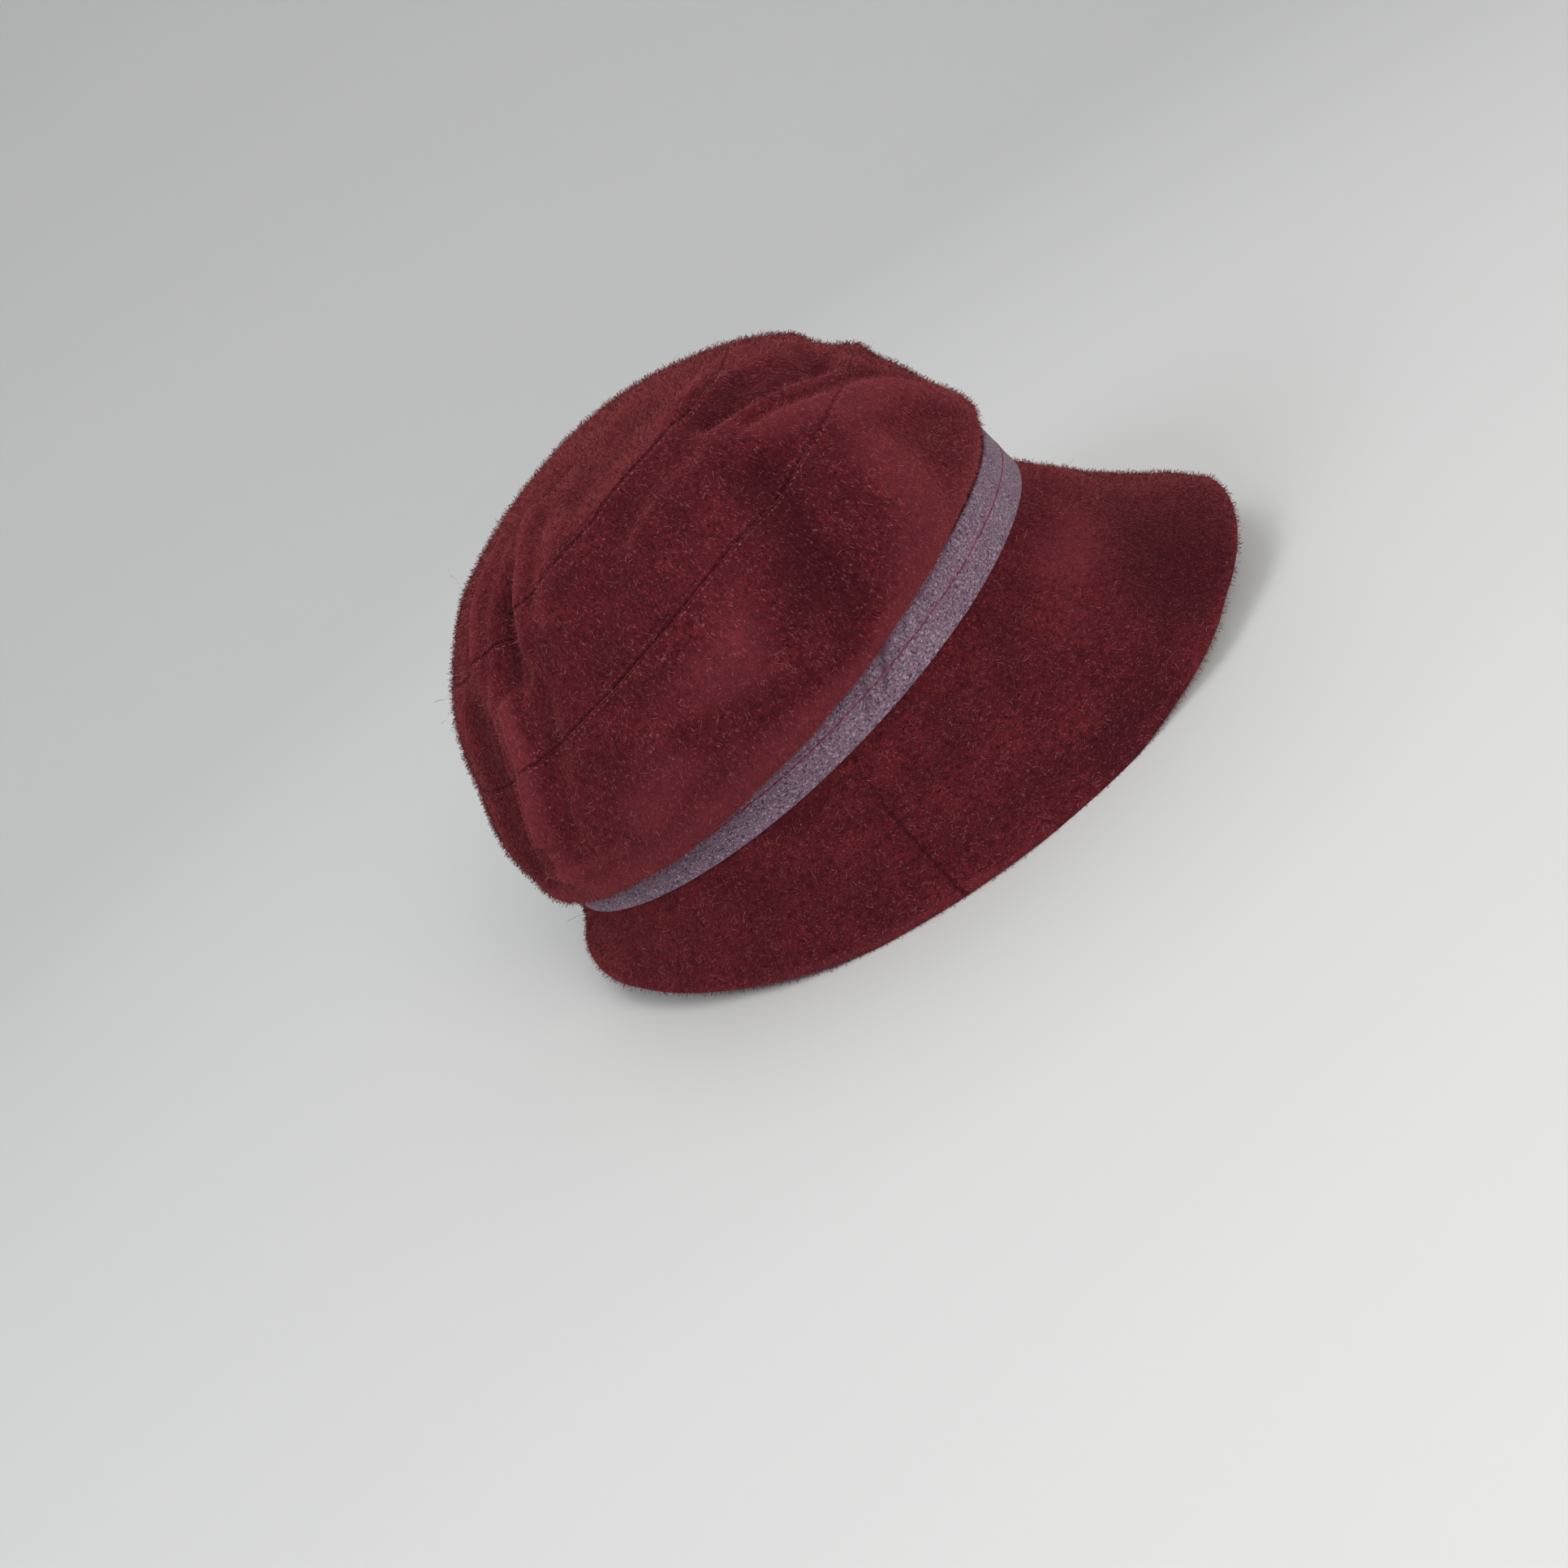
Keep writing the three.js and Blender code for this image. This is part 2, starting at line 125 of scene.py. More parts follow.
# The roll over the band: out past the band's top edge and up above it, as shares of the units
ROLL_TABLE = table(
    "name out_unit out up_unit up",
    [
        ("lip", CROWN_OVERHANG, (0.7, 0.64, 0.69), CROWN_DROOP, (0.73, -0.14, -0.965)),
        ("hem", CROWN_OVERHANG, (0.4, 0.42, 0.35), CROWN_DROOP, (0.61, -0.03, -0.92)),
        ("under", CROWN_OVERHANG, (0.2, 0.22, 0.17), CROWN_DROOP, (0.52, 0.14, -0.41)),
        ("over", (CLEARANCE,) * 3, (-0.9, 4, 2.7), CLEARANCE, (8.6, 5.1, 2.3)),
        ("turn", (BAND_WALL,) * 3, (-0.8, -0.5, -0.5), CLEARANCE, (4.6, 4.3, 4.3)),
        ("stand", (-BAND_INSET,) * 3, (1, 1, 1), CLEARANCE, (1, 1, 1)),
    ],
)

# The brim from the band to its edge: shares of its reach and of its height
BRIM_TABLE = table(
    "name front side back drop_front drop_side drop_back",
    [
        ("inner brim", 0.2, 0.31, 0.18, 0.27, 0.345, 0.36),
        ("outer brim", 0.53, 0.67, 0.5, 0.58, 0.69, 0.7),
        ("edge", 1, 1, 1, 1, 1, 1),
    ],
)
FLAT_SHARE = 0.35  # the edge lies flat on the floor where the hat is widest
LIFT_POWER = 1.3

# Folds along a line of three points: degrees round from the front towards the wearer's right,
# section numbers, width as a share of the crown's height and depth as a share of FOLD_DEPTH
FOLD_COLUMNS = "around section width depth"
CROWN_FOLDS = table(
    FOLD_COLUMNS,
    [
        ((56, 33, 8), (2.8, 4.1, 5.6), 0.16, 0.4),  # roll over the front
        ((50, 24, -14), (2.3, 3.2, 4.1), 0.14, -0.75),  # valley behind it
        ((62, 71, 75), (3.7, 4.9, 6.6), 0.17, -0.95),  # dent in the right side
        ((48, 50, 58), (4.6, 5.2, 5.9), 0.2, 0.4),  # lobe in front of the dent
        ((76, 88, 103), (6.4, 5.8, 5.2), 0.11, -0.45),  # dent along the band
        ((88, 100, 118), (4.9, 4.7, 5.4), 0.2, 0.35),  # fullness above it
        ((135, 135, 142), (2.9, 4, 5.9), 0.11, 0.55),  # ridge at the right back
        ((151, 153, 158), (2.7, 4, 5.6), 0.15, -0.8),  # valley behind it
        ((172, 180, 188), (2.9, 4.4, 5.6), 0.13, 0.15),  # fullness at the back
        ((121, 123, 126), (1.5, 2.1, 2.8), 0.1, -0.7),  # valley up towards the tip
        ((106, 112, 119), (0.9, 1.6, 2.4), 0.09, 0.4),  # ridge before it
        ((143, 142, 140), (0.8, 1.4, 2), 0.09, 0.45),  # ridge after it
        ((10, 28, 52), (2.1, 1.85, 1.85), 0.1, 0.2),  # ridge along the tip seam
        ((40, 62, 84), (1.1, 1.25, 1.3), 0.24, -0.7),  # hollow in the tip
        ((-70, -45, -15), (1.4, 1.4, 1.3), 0.28, 0.2),  # fullness of the tip beyond it
        ((-66, -72, -76), (3.9, 5, 6.3), 0.18, -0.7),  # dent in the left side
        ((-48, -36, -22), (3.2, 3.9, 4.8), 0.15, 0.3),  # roll over the left front
        ((-128, -132, -138), (2.8, 4.1, 5.6), 0.15, -0.55),  # valley at the left back
        ((-112, -116, -120), (3, 4.4, 5.6), 0.17, 0.35),  # ridge before it
        ((-150, -158, -164), (1.6, 2.8, 4.2), 0.16, 0.35),  # ridge up the left back
    ],
)
BRIM_FOLDS = table(
    FOLD_COLUMNS,
    [
        ((6, 20, 36), (0.7, 0.9, 1.1), 0.24, 0.3),  # fullness beside the band
        ((16, 28, 42), (1.9, 2, 2.3), 0.26, -0.3),  # hollow towards the front edge
        ((8, 18, 28), (2.8, 2.9, 2.9), 0.26, 0.4),  # edge bends out at the right front
        ((60, 70, 79), (2.8, 2.9, 3), 0.24, -0.35),  # and draws in before the right seam
        ((130, 140, 150), (2.5, 2.5, 2.5), 0.2, -0.25),  # hollow in the back brim
        ((-20, -36, -50), (1.7, 1.9, 2.1), 0.28, -0.25),  # hollow on the left
        ((-48, -60, -72), (2.8, 2.9, 2.9), 0.26, 0.3),  # edge bends out on the left
    ],
)
# Sharper creases in the same places, only in the cloth
CROWN_CREASES = table(
    FOLD_COLUMNS,
    [
        ((53, 38, 16), (3.4, 4.1, 5.2), 0.12, 0.45),  # brow of the front lobe
        ((50, 28, -2), (2.55, 3.45, 4.5), 0.09, -0.55),  # valley behind it
        ((52, 35, 10), (3.05, 3.8, 4.95), 0.07, -0.6),  # and the crease at its foot
        ((59, 66, 71), (3.6, 4.6, 6), 0.075, -0.4),  # crease in the right side
        ((80, 86, 95), (4, 4.6, 5.2), 0.2, 0.3),  # fullness beside it
        ((9, 16, 22), (3.3, 3.6, 3.95), 0.1, 0.55),  # fullness over the front, behind the brow
        ((30, 58, 82), (1.9, 2, 2), 0.07, 0.25),  # edge of the tip
        ((34, 60, 86), (2.4, 2.5, 2.5), 0.09, -0.35),  # and the sag below it
        ((86, 100, 112), (1.1, 1.9, 2.6), 0.1, 0.3),  # ridge at the right back
        ((84, 97, 108), (2.4, 3, 3.7), 0.13, -0.35),  # sag before it
        ((122, 126, 131), (1.6, 2.1, 2.8), 0.075, -0.7),  # pleat up to the tip
        ((131, 134, 142), (3, 3.9, 4.8), 0.06, 0.6),  # sharp ridge below it
        ((122, 126, 134), (3.3, 4, 4.9), 0.08, -0.4),
        ((144, 148, 153), (3.1, 4, 5), 0.08, -0.65),
        ((150, 141, 126), (5.6, 5.65, 5.8), 0.045, 0.3),  # small crease along the band
    ],
)
BRIM_CREASES = table(
    FOLD_COLUMNS,
    [
        ((8, 22, 38), (1.15, 1.2, 1.25), 0.18, 0.3),  # fullness where the brim turns down
        ((2, 20, 36), (2.1, 2.3, 2.4), 0.26, -0.5),  # and the hollow beyond it
        ((62, 68, 74), (0.6, 1.1, 1.7), 0.07, 0.1),  # faint ripples from the band
        ((108, 112, 117), (0.6, 1.1, 1.8), 0.08, 0.12),
    ],
)
# Where shade is painted on the wool, and light where the depth is over 0, with no change of shape
CROWN_PAINTED_SHADING = table(
    FOLD_COLUMNS,
    [
        ((34, 40, 46), (3.7, 4.4, 5.4), 0.22, 0.4),  # front lobe
        ((88, 104, 120), (5.6, 5.4, 5.6), 0.12, 0.25),  # right side above the band
    ],
)
BRIM_PAINTED_SHADING = table(
    FOLD_COLUMNS,
    [
        ((18, 27, 40), (1.5, 2.1, 2.5), 0.26, -0.7),  # front of the brim
        ((8, 20, 32), (2.7, 2.8, 2.8), 0.22, -1.0),  # and its edge there
        ((50, 66, 88), (2.55, 2.5, 2.3), 0.13, -0.4),  # inside the edge towards the side seam
        ((37, 44, 52), (0.5, 1.0, 1.5), 0.16, 0.35),  # beside the band
    ],
)
CROWN_FOLDS_END = (5.9, 6.9)
BRIM_FOLDS_START = (0.15, 0.7)
BRIM_SEAM_AT_BAND = math.radians(89)
BRIM_SEAM_AT_EDGE = math.radians(97)

TIP_SEAM, SIDE_SEAM = 2, 4
CROWN_FOOT = len(CROWN_TABLE) + len(ROLL_TABLE)
BRIM_BEHIND = 2  # sections of the brim behind the band
BRIM_EDGE = len(BRIM_TABLE)


def blend(places, around):
    """A size at some angles, from its values at the front, side and back."""
    front, side, back = places
    c = np.cos(around)
    return side + (front - back) / 2 * c + ((front + back) / 2 - side) * c * c


def ring_point(out, height, around):
    front, side, back = out
    x = -side * np.sin(around)
    y = AXIS_Y + (back - front) / 2 - (front + back) / 2 * np.cos(around)
    return np.stack([x, y, height + 0 * around], axis=-1)


def curve_point(points, section):
    """Points of smooth curves through rows of points, at one section number for each curve."""
    steps = np.diff(points, axis=0)
    spans = np.linalg.norm(steps, axis=-1, keepdims=True)
    ways = steps / spans
    inner = (spans[1:] * ways[:-1] + spans[:-1] * ways[1:]) / (spans[1:] + spans[:-1])
    slopes = np.concatenate([ways[:1], inner, ways[-1:]])
    i = np.clip(np.floor(section).astype(int), 0, len(points) - 2)
    t = (section - i)[:, None]
    k = np.arange(len(section))
    span = spans[i, k]
    return (
        (2 * t**3 - 3 * t**2 + 1) * points[i, k]
        + (3 * t**2 - 2 * t**3) * points[i + 1, k]
        + (t**3 - 2 * t**2 + t) * span * slopes[i, k]
        + (t**3 - t**2) * span * slopes[i + 1, k]
    )


def behind_band(up, around):
    out = each(lambda foot, lean: foot - lean * up - BAND_INSET, BAND_FOOT_OUT, BAND_LEAN)
    return ring_point(out, blend(BAND_FOOT_RISE, around) + up, around)


def crown_ring(row, around):
    shares = (row["front"], row["side"], row["back"])
    rises = (row["rise_front"], row["rise_side"], row["rise_back"])
    if row["name"] == "pole":
        pole_out = row["back"] * CROWN_OUT[2]
        height = BAND_TOP_RISE[1] + row["rise_side"] * CROWN_HEIGHT
        return ring_point((-pole_out, 0, pole_out), height, around)
    rise = each(lambda top, share: top + share * CROWN_HEIGHT, BAND_TOP_RISE, rises)
    out = each(lambda size, share: size * share, CROWN_OUT, shares)
    return ring_point(out, blend(rise, around), around)


def crown_sections(around):
    rings = [crown_ring(row, around) for row in CROWN_TABLE]
    for row in ROLL_TABLE:
        over = each(lambda size, share: size * share, row["out_unit"], row["out"])
        out = each(lambda top, size: top + size, BAND_TOP_OUT, over)
        rise = each(lambda top, share: top + share * row["up_unit"], BAND_TOP_RISE, row["up"])
        rings.append(ring_point(out, blend(rise, around), around))
    return np.stack([*rings, behind_band(BRIM_TUCK + SEAM_GAP, around)])


def crown_form(around, section):
    opposite = crown_ring(CROWN_TABLE[1], around + math.pi)
    points = np.concatenate([opposite[None], crown_sections(around)])
    return curve_point(points, section + 1)


def edge_height(around):
    c = np.cos(around)
    rise = np.maximum(np.abs(c) - FLAT_SHARE, 0) / (1 - FLAT_SHARE)
    return np.where(c > 0, BRIM_LIFT[0], BRIM_LIFT[1]) * rise**LIFT_POWER


def brim_form(around, section):
    foot = blend(BAND_FOOT_RISE, around)
    drop = foot - edge_height(around)
    rings = [
        behind_band(BRIM_TUCK, around),
        behind_band(CLEARANCE, around),
        ring_point(BAND_FOOT_OUT, foot - BAND_WALL, around),
    ]
    for row in BRIM_TABLE:
        shares = (row["front"], row["side"], row["back"])
        reach = each(lambda whole, share: whole * share, BRIM_REACH, shares)
        out = each(lambda size, over: size + over, BAND_FOOT_OUT, reach)
        down = blend((row["drop_front"], row["drop_side"], row["drop_back"]), around)
        rings.append(ring_point(out, foot - drop * down, around))
    return curve_point(np.stack(rings), section + BRIM_BEHIND)


NEAR_ANGLE = math.radians(0.5)
NEAR_SECTION = 0.02


def unit(vectors):
    return vectors / np.maximum(np.linalg.norm(vectors, axis=-1, keepdims=True), 1e-12)


def facing(form, around, section):
    """The directions that a form faces, worked out from points close by."""
    along = form(around + NEAR_ANGLE, section) - form(around - NEAR_ANGLE, section)
    down = form(around, section + NEAR_SECTION) - form(around, section - NEAR_SECTION)
    out = np.cross(along, down)
    pole = np.linalg.norm(along, axis=-1) < 1e-9
    if pole.any():
        quarter = form(np.radians([90.0, 270.0, 0.0, 180.0]), np.full(4, NEAR_SECTION))
        out[pole] = np.cross(quarter[0] - quarter[1], quarter[2] - quarter[3])
    return unit(out)


def smooth(value, start, end):
    t = np.clip((value - start) / (end - start), 0, 1)
    return t * t * (3 - 2 * t)


def fold_depth(line, width, depth, point):
    """Full depth on a line of points and none at its width from it."""
    nearest = np.full(len(point), np.inf)
    for a, b in zip(line[:-1], line[1:]):
        t = np.clip((point - a) @ (b - a) / ((b - a) @ (b - a)), 0, 1)
        nearest = np.minimum(nearest, np.linalg.norm(point - a - t[:, None] * (b - a), axis=-1))
    share = np.minimum(nearest / width, 1)
    return depth * (1 - share**2) ** 2


class Folded:
    """A form with its folds: each point moves along the direction that the form faces."""

    def __init__(self, form, folds, strength):
        self.form, self.strength, self.lines = form, strength, []
        for fold in folds:
            line = form(np.radians(fold["around"]), np.array(fold["section"], float))
            self.lines.append((line, fold["width"] * CROWN_HEIGHT, fold["depth"] * FOLD_DEPTH))

    def depth(self, around, section):
        """How far the folds move the cloth out, or in where it is negative."""
        point = self.form(around, section)
        return sum(fold_depth(*line, point) for line in self.lines) * self.strength(section)

    def __call__(self, around, section):
        depth = self.depth(around, section)
        return self.form(around, section) + facing(self.form, around, section) * depth[:, None]


crown = Folded(
    crown_form, CROWN_FOLDS + CROWN_CREASES, lambda section: 1 - smooth(section, *CROWN_FOLDS_END)
)
brim = Folded(brim_form, BRIM_FOLDS + BRIM_CREASES, lambda section: smooth(section, *BRIM_FOLDS_START))
# These two only say where shade and light are painted on the wool.
crown_painted_shading = Folded(crown_form, CROWN_PAINTED_SHADING, lambda section: 1.0)
brim_painted_shading = Folded(brim_form, BRIM_PAINTED_SHADING, lambda section: 1.0)


# Grids on the cloth. A grid has one row for each distance down the cloth and one column for
# each angle, and it keeps its distances from the seams at its two ends.

FINE_STEPS = 16  # samples of each section where distances are measured


def lengths_down(form, around, sections):
    """Distances down the cloth from the first of some sections, at some angles."""
    a = np.broadcast_to(around, (len(sections), len(around)))
    s = np.broadcast_to(sections[:, None], a.shape)
    points = form(a.ravel(), s.ravel()).reshape(*a.shape, 3)
    step = np.linalg.norm(np.diff(points, axis=0), axis=-1)
    return np.concatenate([np.zeros((1, len(around))), np.cumsum(step, axis=0)])


class Grid:
    """Angles, section numbers and distances down the cloth from its first row."""

    def __init__(self, form, around, first, last, from_top, from_foot, between):
        self.form = form
        count = int(round((last - first) * FINE_STEPS)) + 1
        fine = np.linspace(first, last, count)
        length = lengths_down(form, around, fine)
        self.length = length[-1]
        top, foot = np.array(from_top)[:, None], np.array(from_foot)[::-1, None]
        share = np.linspace(0, 1, between + 2)[1:-1, None]
        middle = top[-1] + share * (self.length - foot[0] - top[-1])
        top = np.broadcast_to(top, (len(top), len(around)))
        self.down = np.concatenate([top, middle, self.length - foot])
        columns = [np.interp(self.down[:, c], length[:, c], fine) for c in range(len(around))]
        self.section = np.stack(columns, axis=1)
        self.around = np.broadcast_to(around, self.section.shape)
        self.shape = self.section.shape

    def flat(self):
        return self.around.ravel(), self.section.ravel()

    def points(self):
        return self.form(*self.flat()).reshape(*self.shape, 3)

    def normals(self):
        return facing(self.form, *self.flat()).reshape(*self.shape, 3)

    def combed(self):
        """Directions down the cloth."""
        around, section = self.flat()
        below = self.form(around, section + NEAR_SECTION)
        return unit(below - self.form(around, section - NEAR_SECTION)).reshape(*self.shape, 3)


PUCKER_SEED, BAND_SEED, LINE_SEED = 3, 4, 6  # the first two waves of the cloth have seeds 1 and 2


def waves(points, size, seed):
    """Smooth noise between -1 and 1 at some points, with waves of a given size."""
    shift = Vector((seed * 7.3, seed * 3.1, seed * 5.7))
    flat = points.reshape(-1, 3) / size
    values = np.array([noise.noise(Vector(p) + shift) for p in flat])
    return values.reshape(points.shape[:-1])


def soft_relief(points):
    """The slight unevenness of pressed wool cloth."""
    return sum(height * waves(points, size, seed) for seed, (size, height) in enumerate(SOFT_WAVES, 1))


def seam_relief(distance, points):
    """The groove of a seam, the dimples along its stitch line and the puckers beside them."""
    groove = -SEAM_SINK * np.exp(-((distance / SEAM_HALF) ** 2))
    line = -STITCH_DIMPLE * np.exp(-(((distance - STITCH_FROM_SEAM) / STITCH_DIMPLE_HALF) ** 2))
    pucker = PUCKER * waves(points, PUCKER_SIZE, PUCKER_SEED) * np.exp(-distance / PUCKER_REACH)
    return groove + line + pucker


def seam_closeness(distance):
    """1 in the groove of a seam and 0 beside it, where the wool is as everywhere else."""
    return np.exp(-((distance / SEAM_SHADE_HALF) ** 2))


# Meshes

def link(name, data, material=None):
    made = bpy.data.objects.new(name, data)
    bpy.context.scene.collection.objects.link(made)
    if material is not None:
        data.materials.append(material)
    return made


def loft(name, rows, material, round_way=True, closed_section=True, attributes=None):
    """A mesh of rows of points. Rows at a pole are one point, and a strip's ends are closed."""
    count, columns = rows.shape[:2]
    index = np.arange(count * columns).reshape(count, columns)
    for r in range(count):
        if np.ptp(rows[r], axis=0).max() < 1e-9:
            index[r] = index[r, 0]
    faces = []
    spans = columns if round_way else columns - 1
    for r in range(count if closed_section else count - 1):
        below = (r + 1) % count
        for c in range(spans):
            beside = (c + 1) % columns
            corners = [index[r, c], index[r, beside], index[below, beside], index[below, c]]
            corners = [v for i, v in enumerate(corners) if v != corners[i - 1]]
            if len(corners) > 2:
                faces.append(corners)
    if not round_way:
        half = count // 2
        for r in range(half - 1):
            pair = [r, r + 1, count - 2 - r, count - 1 - r]
            faces.append([index[p, 0] for p in pair])
            faces.append([index[p, columns - 1] for p in reversed(pair)])
    used = np.unique(np.concatenate([np.array(f) for f in faces]))
    place = np.full(count * columns, -1)
    place[used] = np.arange(len(used))
    mesh = bpy.data.meshes.new(name)
    mesh.from_pydata(rows.reshape(-1, 3)[used], [], [[int(place[v]) for v in f] for f in faces])
    for key, values in (attributes or {}).items():
        kind, member = ("FLOAT", "value") if values.ndim == 2 else ("FLOAT_VECTOR", "vector")
        layer = mesh.attributes.new(key, kind, "POINT")
        flat = values.reshape(count * columns, -1)[used]
        layer.data.foreach_set(member, flat.astype(np.float32).ravel())
    mesh.shade_smooth()
    mesh.update()
    return link(name, mesh, material)


def angles(count):
    return np.arange(count) / count * 2 * math.pi


NAP_RADIUS = 0.085  # a ring of this radius carries the pattern round a piece


def nap_place(around, down):
    """Where a pattern that is combed down the cloth is read."""
    return np.stack([NAP_RADIUS * np.cos(around), NAP_RADIUS * np.sin(around), down], axis=-1)


SEAM_ROWS = np.array([0.0, 0.2, 0.4, 0.65, 0.9, 1.15, 1.4, 1.65, 1.95, 2.4, 3.1, 4.1]) * MM
PLAIN_ROWS = np.array([0.0, 1.2]) * MM
INSIDE_STEP = 3  # the inside has every third row, as nothing fine shows there

# Columns round each piece, and its rows between those at its two ends
TIP_MESH = (300, 38)
UPPER_MESH = (400, 22)
SIDE_MESH = (420, 62)
BRIM_FRONT_MESH = (230, 38)
BRIM_BACK_MESH = (190, 38)
BAND_MESH = (420, 24)


def wall_rows(outer, inner, inside):
    """Outer rows from top to foot, and back up the inner rows that are kept."""
    return np.concatenate([outer, inner[inside][::-1]])


def crown_cloth(name, material, grid, relief, nap, seam, fuzz=1.0, closed_section=True):
    """A panel of the crown, with the attributes that its material and fibres read."""
    # Painted shade and light: dark in the folds' hollows and the seams' grooves, pale on ridges, in the
    # table's lit places and where seam is below 0.
    folds = (crown.depth(*grid.flat()) + crown_painted_shading.depth(*grid.flat())).reshape(grid.shape)
    brushed = folds / FOLD_DEPTH - SEAM_SHADE * seam
    fuzz = fuzz * (1 - SEAM_BARE * np.maximum(seam, 0))
    points, normals, comb = grid.points(), grid.normals(), grid.combed()
    outer = points + normals * relief[..., None]
    inner = points - normals * CROWN_WALL
    inside = np.unique([*range(0, grid.shape[0], INSIDE_STEP), grid.shape[0] - 1])
    attributes = {
        "nap": wall_rows(nap, nap, inside),
        "comb": wall_rows(comb, comb, inside),
        "fuzz": wall_rows(fuzz, 0 * fuzz, inside),
        "brushed": wall_rows(brushed, brushed, inside),
    }
    rows = wall_rows(outer, inner, inside)
    return loft(name, rows, material, closed_section=closed_section, attributes=attributes)


def crown_tip(material):
    columns, between = TIP_MESH
    grid = Grid(crown, angles(columns), 0, TIP_SEAM, [0.0], SEAM_ROWS, between)
    points = grid.points()
    to_seam = grid.length - grid.down
    relief = soft_relief(points) + seam_relief(to_seam, points)
    relief[0] = relief[0].mean()
    seam = seam_closeness(to_seam)
    return crown_cloth("crown_tip_cloth", material, grid, relief, points, seam, closed_section=False)


def crown_upper(material):
    columns, between = UPPER_MESH
    grid = Grid(crown, angles(columns), TIP_SEAM, SIDE_SEAM, SEAM_ROWS, SEAM_ROWS, between)
    points = grid.points()
    to_seam = grid.length - grid.down
    relief = soft_relief(points) + seam_relief(grid.down, points) + seam_relief(to_seam, points)
    nap = nap_place(grid.around, grid.down)
    seam = seam_closeness(grid.down) + seam_closeness(to_seam)
    return crown_cloth("crown_upper_cloth", material, grid, relief, nap, seam)


ROLL_EVEN = (7.2, 8.2)  # sections where the unevenness of the cloth fades under the roll
FUZZ_ENDS = (8.0, 9.0)  # the roll's underside carries no fibres
ROLL_RIM = 6.6  # the section where the painted highlight on the roll is strongest
ROLL_RIM_HALF = 0.7


def crown_side(material):
    columns, between = SIDE_MESH
    grid = Grid(crown, angles(columns), SIDE_SEAM, CROWN_FOOT, SEAM_ROWS, PLAIN_ROWS, between)
    points = grid.points()
    uneven = soft_relief(points) * (1 - smooth(grid.section, *ROLL_EVEN))
    relief = uneven + seam_relief(grid.down, points)
    nap = nap_place(grid.around, grid.down)
    fuzz = 1 - smooth(grid.section, *FUZZ_ENDS)
    # Painted highlight along the roll's rim, and painted shade in the side seam's groove.
    rim = np.exp(-(((grid.section - ROLL_RIM) / ROLL_RIM_HALF) ** 2))
    shade = seam_closeness(grid.down) - ROLL_PAINTED_HIGHLIGHT * rim
    return crown_cloth("crown_side_cloth", material, grid, relief, nap, shade, fuzz)


def brim_seam(section):
    share = np.clip(section / BRIM_EDGE, 0, 1)
    return BRIM_SEAM_AT_BAND + (BRIM_SEAM_AT_EDGE - BRIM_SEAM_AT_BAND) * share


def edge_rows(outer, edge, inner):
    """Outer rows from top to foot, the rows round the brim's edge, and the inner rows back up."""
    edge = np.broadcast_to(edge, (EDGE_ARC, *outer.shape[1:]))
    return np.concatenate([outer, edge, inner[::-1]])


EDGE_ARC = 9  # rows round the brim's edge
EDGE_FUZZ_TO = 2.2  # radians round it that carry fibres
EDGE_EVEN = 6 * MM  # the unevenness of the cloth fades over this much before the edge
# the painted highlight along the brim's edge fades over this much
EDGE_HIGHLIGHT_OVER = 4 * MM
EDGE_SLOPES = (0.05, 0.95)  # limits of the slope that the edge is fitted to
BRIM_MIDDLE = 1.5  # a section near the middle of the brim,
BRIM_MIDDLE_OUT = 0.1  # and about how far out it is
BRIM_SEAM_START = (-0.2, 0.2)  # sections where the groove of a side seam comes in,
BRIM_FUZZ_START = (0.0, 0.15)  # where the fibres do
BRIM_UNEVEN_START = (0.1, 0.6)  # and where the unevenness of the cloth does


